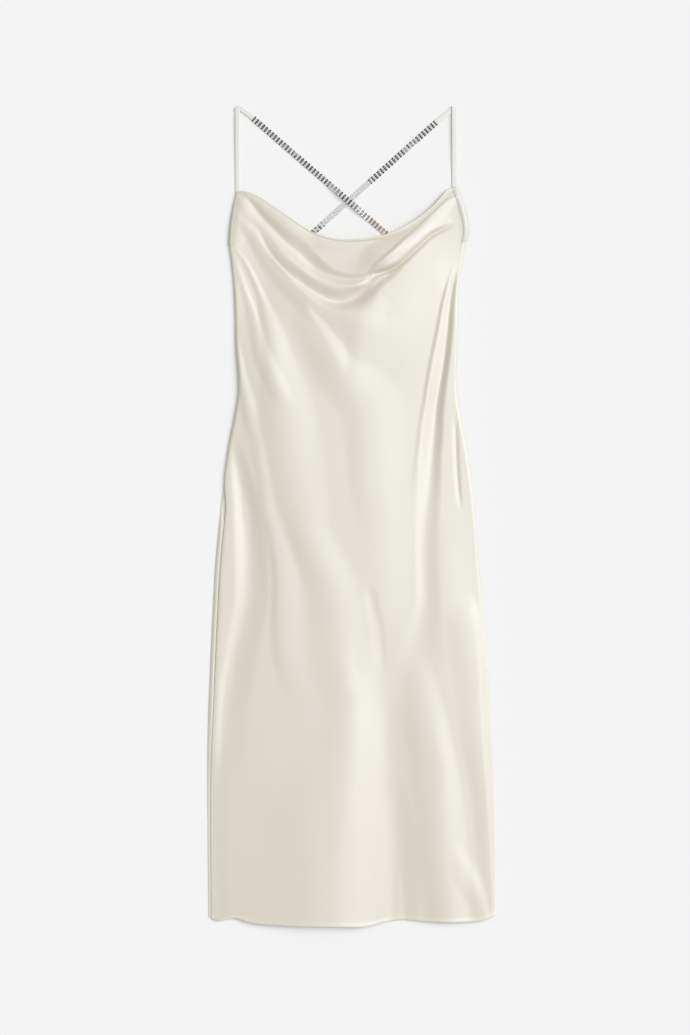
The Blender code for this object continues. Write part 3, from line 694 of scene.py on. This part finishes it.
def mesh_object(name, vertices, edges, faces, material=None):
    mesh = bpy.data.meshes.new(name)
    mesh.from_pydata(vertices, edges, faces)
    if material:
        mesh.materials.append(material)
    return link(bpy.data.objects.new(name, mesh))


def closed_sheet(name, upper, lower, cut, material):
    """A closed thin shell between two grids that meet all round in a rounded rim.  cut holds each point's
    place on the flat cloth, in metres."""
    rows, columns = upper.shape[:2]
    over = np.arange(rows * columns).reshape(rows, columns)
    under = over.copy()
    under[1:-1, 1:-1] = rows * columns + np.arange((rows - 2) * (columns - 2)).reshape(rows - 2, -1)
    rim = (upper + lower) / 2
    top = upper.copy()
    for part in (np.s_[0], np.s_[-1], np.s_[:, 0], np.s_[:, -1]):
        top[part] = rim[part]
    quads = np.concatenate((
        np.stack((over[:-1, :-1], over[1:, :-1], over[1:, 1:], over[:-1, 1:]), axis=-1).reshape(-1, 4),
        np.stack((under[:-1, :-1], under[:-1, 1:], under[1:, 1:], under[1:, :-1]), axis=-1).reshape(-1, 4),
    ))
    vertices, flat = (
        np.concatenate((whole.reshape(-1, size), inner[1:-1, 1:-1].reshape(-1, size)))
        for whole, inner, size in ((top, lower, 3), (cut, cut, 2)))
    item = mesh_object(name, vertices, [], quads, material)
    item.data.shade_smooth()
    layer = item.data.uv_layers.new(name="Cloth")
    corner = np.empty(len(item.data.loops), dtype=np.int32)
    item.data.loops.foreach_get("vertex_index", corner)
    layer.data.foreach_set("uv", flat[corner].astype(np.float32).ravel())
    return item


def shell(name, x, drop, middle, thickness, material):
    """A closed thin shell of a thickness in millimetres around a panel's points, in metres"""
    offset = normals(middle) * (thickness[..., None] * MM / 2)
    return closed_sheet(name, middle + offset, middle - offset, on_flat_cloth(x, drop), material)


def finish_piece(item, node):
    """Puts a piece on the dress's body in the place of its solid"""
    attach(item, BODY)
    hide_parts(node)


# ------------------------------------------------------------------------------------------------- nodes


class Socket:
    """A node's output that takes part in arithmetic"""

    def __init__(self, nodes, socket):
        self.nodes = nodes
        self.socket = socket

    def other(self, name):
        """Another output of the same node"""
        return Socket(self.nodes, self.socket.node.outputs[name])

    def __add__(self, other):
        return self.nodes.maths("ADD", self, other)

    def __sub__(self, other):
        return self.nodes.maths("SUBTRACT", self, other)

    def __rsub__(self, other):
        return self.nodes.maths("SUBTRACT", other, self)

    def __mul__(self, other):
        return self.nodes.maths("MULTIPLY", self, other)

    def __truediv__(self, other):
        return self.nodes.maths("DIVIDE", self, other)

    def __rtruediv__(self, other):
        return self.nodes.maths("DIVIDE", other, self)

    __radd__ = __add__
    __rmul__ = __mul__


class Nodes:
    """A tree of nodes"""

    def __init__(self, tree):
        self.tree = tree

    def node(self, kind, settings=None, inputs=None, output=0):
        """Adds a node and gives one of its outputs: its settings first, then the values or links of its
        sockets, with a list where one socket takes several links"""
        made = self.tree.nodes.new(kind)
        for name, value in (settings or {}).items():
            if name == "stops":
                stops = made.color_ramp.elements
                for position, _ in value[2:]:
                    stops.new(position)
                for stop, (position, colour) in zip(stops, value):
                    stop.position = position
                    stop.color = (*colour, 1)
            else:
                setattr(made, name, value)
        for key, value in (inputs or {}).items():
            for part in value if isinstance(value, list) else [value]:
                if isinstance(part, Socket):
                    self.tree.links.new(part.socket, made.inputs[key])
                else:
                    made.inputs[key].default_value = part
        return Socket(self, made.outputs[output])

    def maths(self, operation, *values):
        return self.node("ShaderNodeMath", {"operation": operation}, dict(enumerate(values)))


class Shader(Nodes):
    """The nodes of one material"""

    def __init__(self, name):
        self.material = bpy.data.materials.new(name)
        self.material.use_nodes = True
        super().__init__(self.material.node_tree)
        self.tree.nodes.clear()

    def on_piece(self):
        return self.node("ShaderNodeTexCoord", {}, {}, "Object")

    def attribute(self, name):
        return self.node("ShaderNodeAttribute", {"attribute_name": name}, {}, "Fac")

    def noise(self, where, scale, detail=1.0, dimensions="3D"):
        return self.node(
            "ShaderNodeTexNoise", {"noise_dimensions": dimensions},
            {"Vector": where, "Scale": scale, "Detail": detail})

    def ramp(self, value, *stops):
        return self.node("ShaderNodeValToRGB", {"stops": stops}, {0: value})

    def mix(self, share, first, second, blend="MIX"):
        return self.node(
            "ShaderNodeMix", {"data_type": "RGBA", "blend_type": blend}, {0: share, 6: first, 7: second}, 2)

    def bump(self, height, strength):
        return self.node("ShaderNodeBump", {}, {"Height": height, "Strength": strength, "Distance": RELIEF})

    def finish(self, inputs):
        """The material, whose surface has these values or links"""
        surface = self.node("ShaderNodeBsdfPrincipled", {}, inputs)
        output = self.tree.nodes.new("ShaderNodeOutputMaterial")
        self.tree.links.new(surface.socket, output.inputs["Surface"])
        return self.material


class NodeTool(Nodes):
    """A Geometry Nodes tree with named inputs, listed kind by kind"""

    def __init__(self, name, inputs):
        super().__init__(bpy.data.node_groups.new(name, "GeometryNodeTree"))
        face = self.tree.interface
        for way in ("INPUT", "OUTPUT"):
            face.new_socket(name="Geometry", in_out=way, socket_type="NodeSocketGeometry")
        self.identifiers = {
            label: face.new_socket(name=label, in_out="INPUT", socket_type=f"NodeSocket{kind}").identifier
            for kind, labels in inputs.items() for label in labels}
        self.group = self.tree.nodes.new("NodeGroupInput")

    def given(self, label):
        return Socket(self, self.group.outputs[label])

    def rise(self, value, start, end):
        """0 before start and 1 after end"""
        return self.node(
            "ShaderNodeMapRange", {"interpolation_type": "SMOOTHSTEP"},
            {"Value": value, "From Min": start, "From Max": end})

    def points_along(self):
        """Points along the carrier's lines, a pitch apart, and the turn to the lines' direction there"""
        curve = self.node("GeometryNodeMeshToCurve", {}, {"Mesh": self.given("Geometry")})
        points = self.node(
            "GeometryNodeCurveToPoints", {"mode": "LENGTH"}, {"Curve": curve, "Length": self.given("Pitch")})
        return points, self.node(
            "FunctionNodeAlignRotationToVector", {"axis": "X"}, {"Vector": points.other("Tangent")})

    def copies(self, points, shape, turn, size, material):
        """Copies of a shape on points, made real and given their material"""
        placed = self.node("GeometryNodeInstanceOnPoints", {}, {
            "Points": points, "Instance": shape, "Rotation": turn, "Scale": size})
        real = self.node("GeometryNodeRealizeInstances", {}, {"Geometry": placed})
        return self.node("GeometryNodeSetMaterial", {}, {"Geometry": real, "Material": self.given(material)})

    def finish(self, geometry):
        """The tool, with this geometry as the tree's result"""
        self.tree.links.new(geometry.socket, self.tree.nodes.new("NodeGroupOutput").inputs[0])
        return self

    def use(self, name, paths, values):
        """The tree's result along paths, as a plain mesh object"""
        vertices = [tuple(point) for path in paths for point in path]
        starts = np.cumsum([0] + [len(path) for path in paths])
        edges = [(i, i + 1) for start, end in zip(starts, starts[1:]) for i in range(start, end - 1)]
        carrier = mesh_object(f"{name} path", vertices, edges, [])
        modifier = carrier.modifiers.new(self.tree.name, "NODES")
        modifier.node_group = self.tree
        for label, value in values.items():
            modifier[self.identifiers[label]] = value
        bpy.context.view_layer.update()
        graph = bpy.context.evaluated_depsgraph_get()
        mesh = bpy.data.meshes.new_from_object(carrier.evaluated_get(graph), depsgraph=graph)
        carrier.modifiers.remove(modifier)
        bpy.data.objects.remove(carrier)
        if not mesh.polygons:
            raise RuntimeError(f"{name} came out empty")
        mesh.name = name
        return link(bpy.data.objects.new(name, mesh))


def stone_tool():
    """Rows of stones in cups along a line, each with a painted glint.  Every second stone is painted bright
    and the ones between them dark, but all are pale along the faded stretch and warm in colour after the warm
    one"""
    tool = NodeTool("rows of stones", {
        "Object": ("Cup", "Stone"), "Int": ("Rows", "Seed"), "Material": ("Cup material", "Stone material"),
        "Float": ("Pitch", "Row pitch", "Faded from", "Faded to", "Blend", "Warm from", "Warm to"),
    })
    points, turn = tool.points_along()
    number_of_rows = tool.given("Rows")
    rows = tool.node(
        "GeometryNodeDuplicateElements", {"domain": "POINT"}, {"Geometry": points, "Amount": number_of_rows})
    aside = tool.node(
        "ShaderNodeVectorMath", {"operation": "CROSS_PRODUCT"}, {0: (0, 0, 1), 1: points.other("Tangent")})
    row = rows.other("Duplicate Index") - (number_of_rows - 1.0) * 0.5
    offset = tool.node(
        "ShaderNodeVectorMath", {"operation": "SCALE"}, {0: aside, "Scale": row * tool.given("Row pitch")})
    marked = tool.node("GeometryNodeSetPosition", {}, {"Geometry": rows, "Offset": offset})

    # painted glint: every second stone painted bright, the dark ones lightened here and there and by chance
    order = tool.maths("FLOOR", (tool.node("GeometryNodeInputIndex") + 0.5) / number_of_rows)
    chance = tool.node("FunctionNodeRandomValue", {"data_type": "FLOAT"}, {"Seed": tool.given("Seed")}, 1)
    second = tool.maths("MODULO", order, 2.0)
    noise = tool.node("ShaderNodeTexNoise", {}, {"Scale": DRIFT_SCALE, "Detail": 0.0})
    drift = tool.rise(noise, DRIFT_FROM, DRIFT_TO) * DRIFT * (1.0 - second)
    light = drift + (second * EVERY_SECOND + chance * CHANCE)
    along = order * tool.given("Pitch")
    start, end, blend = tool.given("Faded from"), tool.given("Faded to"), tool.given("Blend")
    fade = tool.rise(along, start, start + blend) * (1.0 - tool.rise(along, end - blend, end))
    glint = light + fade * (light * PALE_SWING + PALE - light)
    warmth = tool.rise(along, tool.given("Warm from"), tool.given("Warm to"))
    for name, value in (("glint", glint), ("warmth", warmth)):
        marked = tool.node(
            "GeometryNodeStoreNamedAttribute", {"data_type": "FLOAT", "domain": "POINT"},
            {"Geometry": marked, "Name": name, "Value": value})
    layers = []
    for name in ("Cup", "Stone"):
        shape = tool.node("GeometryNodeObjectInfo", {}, {"Object": tool.given(name)}, "Geometry")
        layers.append(tool.copies(marked, shape, turn, (1, 1, 1), f"{name} material"))
    return tool.finish(tool.node("GeometryNodeJoinGeometry", {}, {"Geometry": layers}))


def stitch_tool():
    """Stitches along lines"""
    tool = NodeTool("stitches", {"Float": ("Length", "Pitch", "Thread"), "Material": ("Material",)})
    points, turn = tool.points_along()
    bead = tool.node("GeometryNodeMeshIcoSphere", {}, {"Radius": 0.5, "Subdivisions": 1})
    thread = tool.given("Thread")
    size = tool.node("ShaderNodeCombineXYZ", {}, {"X": tool.given("Length"), "Y": thread, "Z": thread})
    return tool.finish(tool.copies(points, bead, turn, size, "Material"))


# ---------------------------------------------------------------------------------------------- materials


def satin_material(name, colour):
    """Bias-cut satin: a soft sheen, fine threads at 45 degrees and a little unevenness"""
    shader = Shader(name)
    cloth = shader.node("ShaderNodeUVMap", {"uv_map": "Cloth"})
    bias = shader.node("ShaderNodeMapping", {}, {"Vector": cloth, "Rotation": (0, 0, BIAS), "Scale": THREADS})
    threads = shader.noise(bias, 1.0, 2.0, "2D")
    clouds = shader.noise(shader.on_piece(), CLOUDS, 2.0)
    uneven = shader.ramp(clouds, (0.35, (0.72, 0.70, 0.66)), (0.65, (1, 1, 1)))
    return shader.finish({
        "Base Color": shader.mix(0.05, tuple(colour), uneven, "MULTIPLY"),
        "Roughness": threads * SATIN_SWING + clouds * SATIN_SWING + (SATIN_ROUGHNESS - SATIN_SWING),
        "Normal": shader.bump(threads, 0.25), "IOR": 1.6,
        "Specular IOR Level": 1.0, "Specular Tint": (0.8, 0.92, 1.0, 1.0)})


def get_satin(settings, part="satin"):
    name = f"ivory {part}"
    return bpy.data.materials.get(name) or satin_material(name, getattr(settings.colours, part))


def thread_material(colour):
    shader = Shader("twisted thread")
    twist = shader.noise(shader.on_piece(), 2600.0)
    return shader.finish({
        "Base Color": tuple(colour), "Roughness": twist * 0.2 + 0.4, "Normal": shader.bump(twist, 0.3)})


def metal_material(colour):
    """Silver-coloured cups, with the stones' painted glint painted into their colour too, so that they are as
    bright or dark as the stones in them
    """
    shader = Shader("silver-coloured cups")
    # painted highlight and shade: the cups' colour follows the stones' painted glint
    shade = shader.ramp(shader.attribute("glint"), (0.2, (0.22, 0.21, 0.21)), (0.6, (1, 1, 1)))
    worn = shader.noise(shader.on_piece(), 700.0)
    return shader.finish({
        "Base Color": shader.mix(1.0, tuple(colour), shade, "MULTIPLY"), "Metallic": 0.45,
        "Roughness": worn * 0.2 + 0.18})


def stone_material():
    """Clear foiled stones, with the bright and dark reflections that they catch painted into their colour"""
    shader = Shader("clear stones")
    glint = shader.attribute("glint")
    # painted reflection: the stones' colour runs from near black to near white with their painted glint, the
    # warm ones likewise
    clear = shader.ramp(
        glint, (0.0, (0.012, 0.011, 0.011)), (0.34, (0.06, 0.052, 0.05)), (0.6, (0.70, 0.68, 0.67)),
        (1.0, (0.93, 0.93, 0.94)))
    warm = shader.ramp(
        glint, (0.0, (0.28, 0.17, 0.12)), (0.34, (0.42, 0.29, 0.22)), (0.7, (0.88, 0.76, 0.68)))
    return shader.finish({
        "Base Color": shader.mix(shader.attribute("warmth"), clear, warm), "Metallic": 0.1,
        "Roughness": 0.12, "Coat Weight": 0.3})


def floor_material(colour):
    return Shader("pale floor").finish({
        "Base Color": tuple(colour), "Roughness": 0.9, "Specular IOR Level": 0.1})


# ---------------------------------------------------------------------------------------------- operators


class DRESS_OT_front(bpy.types.Operator):
    """Make the front panel with its cowl folds"""

    bl_idname = "dress.front"
    bl_label = "Front panel"

    def execute(self, context):
        settings = context.scene.slip_dress
        front = Front(settings.cloth)
        level = spaced(ROW_SPACING)[:, None]
        width = side(RIGHT_SIDE, HEM_LEVEL) - side(LEFT_SIDE, HEM_LEVEL)
        across = edged(width, settings.cloth.column / MM)[None, :] / width
        x, drop = front.plan(level, np.broadcast_to(across, (len(level), across.shape[1])))
        thickness = front.wall * rim_factor(to_edge(x, drop), front.wall)
        middle = place(x, drop, front.height(x, drop))
        item = shell("front_panel_satin", x, drop, middle, thickness, get_satin(settings))
        finish_piece(item, "front_panel")
        return {"FINISHED"}


class DRESS_OT_back(bpy.types.Operator):
    """Make the back panel, flat below, its left edge rolled up to the side seam"""

    bl_idname = "dress.back"
    bl_label = "Back panel"

    def execute(self, context):
        settings = context.scene.slip_dress
        wall = settings.cloth.wall / MM
        roll = settings.cloth.seam_roll / MM
        share = np.concatenate((
            BACK_ROW_RIM, np.linspace(0.001, 0.999, BACK_ROWS), 1 - BACK_ROW_RIM[::-1]))[:, None]
        top_left, top_right = BACK_TOP[0].drop, BACK_TOP[-1].drop
        left_drop = top_left + (HEM_LEVEL - top_left) * share
        right_drop = top_right + (HEM_LEVEL - top_right) * share
        left = side(LEFT_SIDE, left_drop)
        right = side(RIGHT_SIDE, right_drop)
        rolled = seam_inset(left_drop - ROLL_LAG, roll) / roll
        strip = STRIP_LEAST + (roll + STRIP_TUCK) * rolled
        inner = edged(BACK_PARTS, BACK_PART_STEP)[None, 4:] / BACK_PARTS
        start = left + strip * STRIP_END
        x = np.concatenate((left + STRIP_COLUMNS * strip, start + (right - start) * inner), axis=1)
        across = (x - left) / (right - left)
        straight = left_drop + across * (right_drop - left_drop)
        chord = top_left + across * (top_right - top_left)
        drop = straight + (edge(BACK_TOP, x) - chord) * (1 - share) ** BACK_CURVE_POWER
        drop = drop + (edge(HEM, x) - BACK_HEM_LIFT - HEM_LEVEL) * share ** BACK_CURVE_POWER
        crown = np.sin(np.clip(STRIP_COLUMNS, 0, 1) * math.pi * STRIP_TURN) * STRIP_CROWN
        full = rim_factor(to_edge(x, drop), wall)
        thickness = np.full(x.shape, wall)
        thickness[:, :len(STRIP_COLUMNS)] += crown * rolled ** 2 * (1 - faded(left_drop))
        lift = (wall / 2) * (1 - full)
        item = closed_sheet(
            "back_panel_satin", place(x, drop, lift + thickness * full), place(x, drop, lift),
            on_flat_cloth(x, drop), get_satin(settings))
        finish_piece(item, "back_panel")
        return {"FINISHED"}


class DRESS_OT_bindings(bpy.types.Operator):
    """Make the narrow bindings of the armhole edges"""

    bl_idname = "dress.bindings"
    bl_label = "Armhole bindings"

    def execute(self, context):
        settings = context.scene.slip_dress
        front = Front(settings.cloth)
        above = front.wall / 2 + settings.cloth.gap / MM + BINDING_WALL / 2
        level = spaced(BINDING_SPACING)[:, None]
        width = np.diff(np.concatenate(front.sides(level), axis=1))
        inward = edged(settings.cloth.binding / MM, BINDING_COLUMN)[None, :]
        for name, across in (("left", inward / width), ("right", 1 - inward[:, ::-1] / width)):
            x, drop = front.plan(level, across)
            middle = place(x, drop, front.height(x, drop))
            middle = middle + normals(middle) * (above * MM)
            crown = 1 + BINDING_CROWN * np.sin(math.pi * (x - x[:, :1]) / (x[:, -1:] - x[:, :1]))
            thickness = BINDING_WALL * rim_factor(to_edge(x, drop), BINDING_WALL) * crown
            item = shell(
                f"armhole_binding_{name}_satin", x, drop, middle, thickness, get_satin(settings, "binding"))
            finish_piece(item, f"armhole_binding_{name}")
        return {"FINISHED"}


def strap_layers(strap):
    """Upper and lower side of a flat strap that runs up from the panel's corner, folds over and runs down
    behind, its place on the flat cloth and its length"""
    base, fold, end = (seen_from_above(point) for point in (strap.base, strap.fold, strap.end))
    up = unit(fold - base)
    aside = np.array([up[1], -up[0]])
    landing = fold
    for _ in range(CREASE_ROUNDS):       # the turn carries the strap a little along its crease
        down = unit(end - landing)
        crease = unit(up + down)
        beyond = unit(up - down)
        turn = math.pi * strap.bend / np.dot(beyond, up)
        landing = fold + turn * np.dot(crease, up) * crease

    length_up = np.linalg.norm(fold - base)
    length = length_up + turn + np.linalg.norm(end - landing)
    round_fold = length_up + turn * np.linspace(0, 1, STRAP_TURN_ROWS)
    along = np.sort(np.concatenate((edged(length, STRAP_ROW), round_fold)))[:, None]
    across = edged(strap.width, STRAP_COLUMN)[None, :] - strap.width / 2
    slant = np.dot(crease, up) / np.dot(crease, aside)
    slant = slant * ease(along / (length_up - strap.width * SLANT_BEFORE))
    slant = slant * ease((length - along) / (length - length_up - turn - strap.width * SLANT_AFTER))
    flat = base + (along + across * slant)[..., None] * up + across[..., None] * aside

    past = (flat - fold) @ beyond
    angle = np.clip(past / strap.bend, 0, math.pi)
    back = np.maximum(past - math.pi * strap.bend, 0)
    middle = flat - np.maximum(past, 0)[..., None] * beyond - back[..., None] * beyond
    free = np.clip((along - STRAP_TUCK) / (length_up - STRAP_TUCK), 0, 1)
    climb = np.where(past <= 0, 2 * strap.bend * ease(free) - 2 * strap.bend, 0)
    climb = climb + strap.arch * np.sin(math.pi * free)
    from_edge = np.minimum(np.minimum(along, length - along), strap.width / 2 - np.abs(across))
    full = rim_factor(from_edge, STRAP_WALL) * (1 + STRAP_CROWN * (1 - (2 * across / strap.width) ** 2))

    def layer(offset):
        reach = strap.bend + offset * full
        plan = middle + (reach * np.sin(angle))[..., None] * beyond
        height = STRAP_LIFT + strap.bend + reach * np.cos(angle) + climb
        return np.concatenate((plan, height[..., None]), axis=-1) * MM

    cut = np.stack(np.broadcast_arrays(across, along), axis=-1) * MM
    return layer(STRAP_WALL / 2), layer(-STRAP_WALL / 2), cut, length


class DRESS_OT_straps(bpy.types.Operator):
    """Make the straps, folded over at the shoulder"""

    bl_idname = "dress.straps"
    bl_label = "Straps"

    def execute(self, context):
        settings = context.scene.slip_dress
        for strap in STRAPS:
            upper, lower, cut, length = strap_layers(strap)
            item = closed_sheet(f"strap_{strap.side}_satin", upper, lower, cut, get_satin(settings, "strap"))
            finish_piece(item, f"strap_{strap.side}")
            width = max(strap.width, FLAT_LEAST) * MM
            length * MM
            strap.width * length * MM * MM
        return {"FINISHED"}


def turned_shape(name, profile, radius):
    """A shape turned round the Z axis"""
    angles = [2 * math.pi * (i + 0.5) / STONE_SIDES for i in range(STONE_SIDES)]
    vertices = [
        (radius * ring.radius * math.cos(angle), radius * ring.radius * math.sin(angle), ring.height * MM)
        for ring in profile for angle in angles]
    last = (len(profile) - 1) * STONE_SIDES
    faces = []
    for first in range(0, last, STONE_SIDES):
        for i in range(STONE_SIDES):
            j = (i + 1) % STONE_SIDES
            faces.append((first + i, first + j, first + STONE_SIDES + j, first + STONE_SIDES + i))
    faces.append(tuple(range(STONE_SIDES - 1, -1, -1)))
    faces.append(tuple(range(last, last + STONE_SIDES)))
    return mesh_object(name, vertices, [], faces)


class DRESS_OT_bands(bpy.types.Operator):
    """Make the crossed bands of stones in linked metal cups"""

    bl_idname = "dress.bands"
    bl_label = "Rhinestone bands"

    def execute(self, context):
        settings = context.scene.slip_dress
        sizes = settings.stones
        cup = turned_shape("cup", CUP, sizes.stone / 2)
        stone = turned_shape("stone", STONE, sizes.stone / 2)
        values = {
            "Cup": cup, "Cup material": metal_material(settings.colours.metal),
            "Stone": stone, "Stone material": stone_material(), "Pitch": sizes.pitch,
            "Row pitch": sizes.row_pitch, "Rows": sizes.rows, "Seed": sizes.seed, "Blend": sizes.blend,
        }
        tool = stone_tool()
        along = np.linspace(0, 1, BAND_POINTS)
        for band in BANDS:
            start, end = seen_from_above(band.start), seen_from_above(band.end)
            height = np.interp(along, column(band.rises, "along"), column(band.rises, "height")) + BAND_LIFT
            plan = start + along[:, None] * (end - start)
            path = np.concatenate((plan, height[:, None]), axis=1) * MM
            item = tool.use(f"rhinestone_band_{band.side}_stones", [path], {
                **values, "Faded from": band.faded.start * MM, "Faded to": band.faded.end * MM,
                "Warm from": band.warm.start * MM, "Warm to": band.warm.end * MM,
            })
            finish_piece(item, f"rhinestone_band_{band.side}")
        bpy.data.objects.remove(cup)
        bpy.data.objects.remove(stone)
        return {"FINISHED"}


class DRESS_OT_stitches(bpy.types.Operator):
    """Make the rows of stitches at the hem, the left side seam, the bindings and the straps' ends"""

    bl_idname = "dress.stitches"
    bl_label = "Stitches"

    def execute(self, context):
        settings = context.scene.slip_dress
        sizes = settings.stitches
        front = Front(settings.cloth)

        def on_cloth(x, drop, above):
            x, drop = np.broadcast_arrays(x, drop)
            return place(x, drop, front.height(x, drop) + front.wall / 2 + above)

        ends = [side(table, HEM_LEVEL) for table in (LEFT_SIDE, RIGHT_SIDE)]
        across = np.linspace(*(end + inset for end, inset in zip(ends, HEM_STITCH_ENDS)), 400)
        rows = [on_cloth(across, edge(HEM, across) - front.hem - HEM_STITCH_GAP, STITCH_LIFT)]
        down = np.linspace(*SEAM_STITCH_DROPS, 500)
        rows += [on_cloth(front.sides(down)[0] + inset, down, STITCH_LIFT) for inset in SEAM_STITCH_INSETS]
        down = np.linspace(NECK_LEVEL + BINDING_STITCH_ENDS, UNDERARM_LEVEL - BINDING_STITCH_ENDS, 60)
        inset = settings.cloth.binding / MM - BINDING_STITCH_INSET
        above = settings.cloth.gap / MM + BINDING_STITCH_LIFT
        rows += [on_cloth(x + way * inset, down, above) for x, way in zip(front.sides(down), (1, -1))]
        for strap in STRAPS:
            end = seen_from_above(strap.end)
            back = unit(seen_from_above(strap.fold) - end)
            aside = np.array([-back[1], back[0]]) * (strap.width / 2 - STRAP_STITCH_INSET)
            rows += [
                [(*(end + back * away + aside * way) * MM, STRAP_STITCH_HEIGHT * MM) for way in (-1, 1)]
                for away in STRAP_STITCHES]
        item = stitch_tool().use("stitches", rows, {
            "Length": sizes.length, "Pitch": sizes.pitch, "Thread": sizes.thread,
            "Material": thread_material(settings.colours.thread),
        })
        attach(item, BODY)
        return {"FINISHED"}


class DRESS_OT_stage(bpy.types.Operator):
    """Make the pale surface, the soft light and the camera straight above"""

    bl_idname = "dress.stage"
    bl_label = "Stage"

    def execute(self, context):
        scene = context.scene
        stage = scene.slip_dress.stage
        corners = [
            (FLOOR_HALF * x, FLOOR_HALF * y, -FLOOR_DEPTH * MM)
            for x, y in ((-1, -1), (1, -1), (1, 1), (-1, 1))]
        floor = mesh_object(
            "floor", corners, [], [(0, 1, 2, 3)], floor_material(scene.slip_dress.colours.floor))

        for lamp in LAMPS:
            light = bpy.data.lights.new(lamp.name, "SUN")
            light.energy = getattr(stage, lamp.strength)
            light.angle = math.radians(lamp.spread)
            turn, tilt = math.radians(lamp.azimuth), math.radians(lamp.elevation)
            away = Vector((math.cos(turn) * math.cos(tilt), math.sin(turn) * math.cos(tilt), math.sin(tilt)))
            sun = link(bpy.data.objects.new(lamp.name, light))
            sun.rotation_euler = away.to_track_quat("Z", "Y").to_euler()

        world = bpy.data.worlds.new("room")
        world.use_nodes = True
        background = world.node_tree.nodes["Background"]
        background.inputs["Color"].default_value = (1, 1, 1, 1)
        background.inputs["Strength"].default_value = stage.room
        scene.world = world
        scene.view_settings.view_transform = "Standard"

        camera = bpy.data.cameras.new("camera")
        camera.lens = stage.lens
        camera.sensor_width = SENSOR
        camera.sensor_fit = "AUTO"
        eye = link(bpy.data.objects.new("camera", camera))
        x, y = VIEW_CENTRE
        eye.location = (x * MM, y * MM, stage.view_height * stage.lens / SENSOR)
        scene.camera = eye
        return {"FINISHED"}


class DRESS_PT_panel(bpy.types.Panel):
    """Lists the dress's pieces"""

    bl_idname = "DRESS_PT_panel"
    bl_label = "Slip dress"
    bl_space_type = "VIEW_3D"
    bl_region_type = "UI"
    bl_category = "Dress"

    def draw(self, context):
        for operator in OPERATORS:
            self.layout.operator(operator.bl_idname)


OPERATORS = (
    DRESS_OT_stage, DRESS_OT_back, DRESS_OT_front, DRESS_OT_bindings, DRESS_OT_straps, DRESS_OT_bands,
    DRESS_OT_stitches,
)
CLASSES = (
    ClothSizes, StoneSizes, StitchSizes, Colours, StageSizes, DressSettings, *OPERATORS, DRESS_PT_panel,
)


def register():
    for made in CLASSES:
        bpy.utils.register_class(made)
    bpy.types.Scene.slip_dress = PointerProperty(type=DressSettings)


def unregister():
    del bpy.types.Scene.slip_dress
    for made in reversed(CLASSES):
        bpy.utils.unregister_class(made)


def main():
    register()
    bpy.ops.dress.stage()
    bpy.ops.dress.back()
    bpy.ops.dress.front()
    bpy.ops.dress.bindings()
    bpy.ops.dress.straps()
    bpy.ops.dress.bands()
    bpy.ops.dress.stitches()


if __name__ == "__main__":
    main()
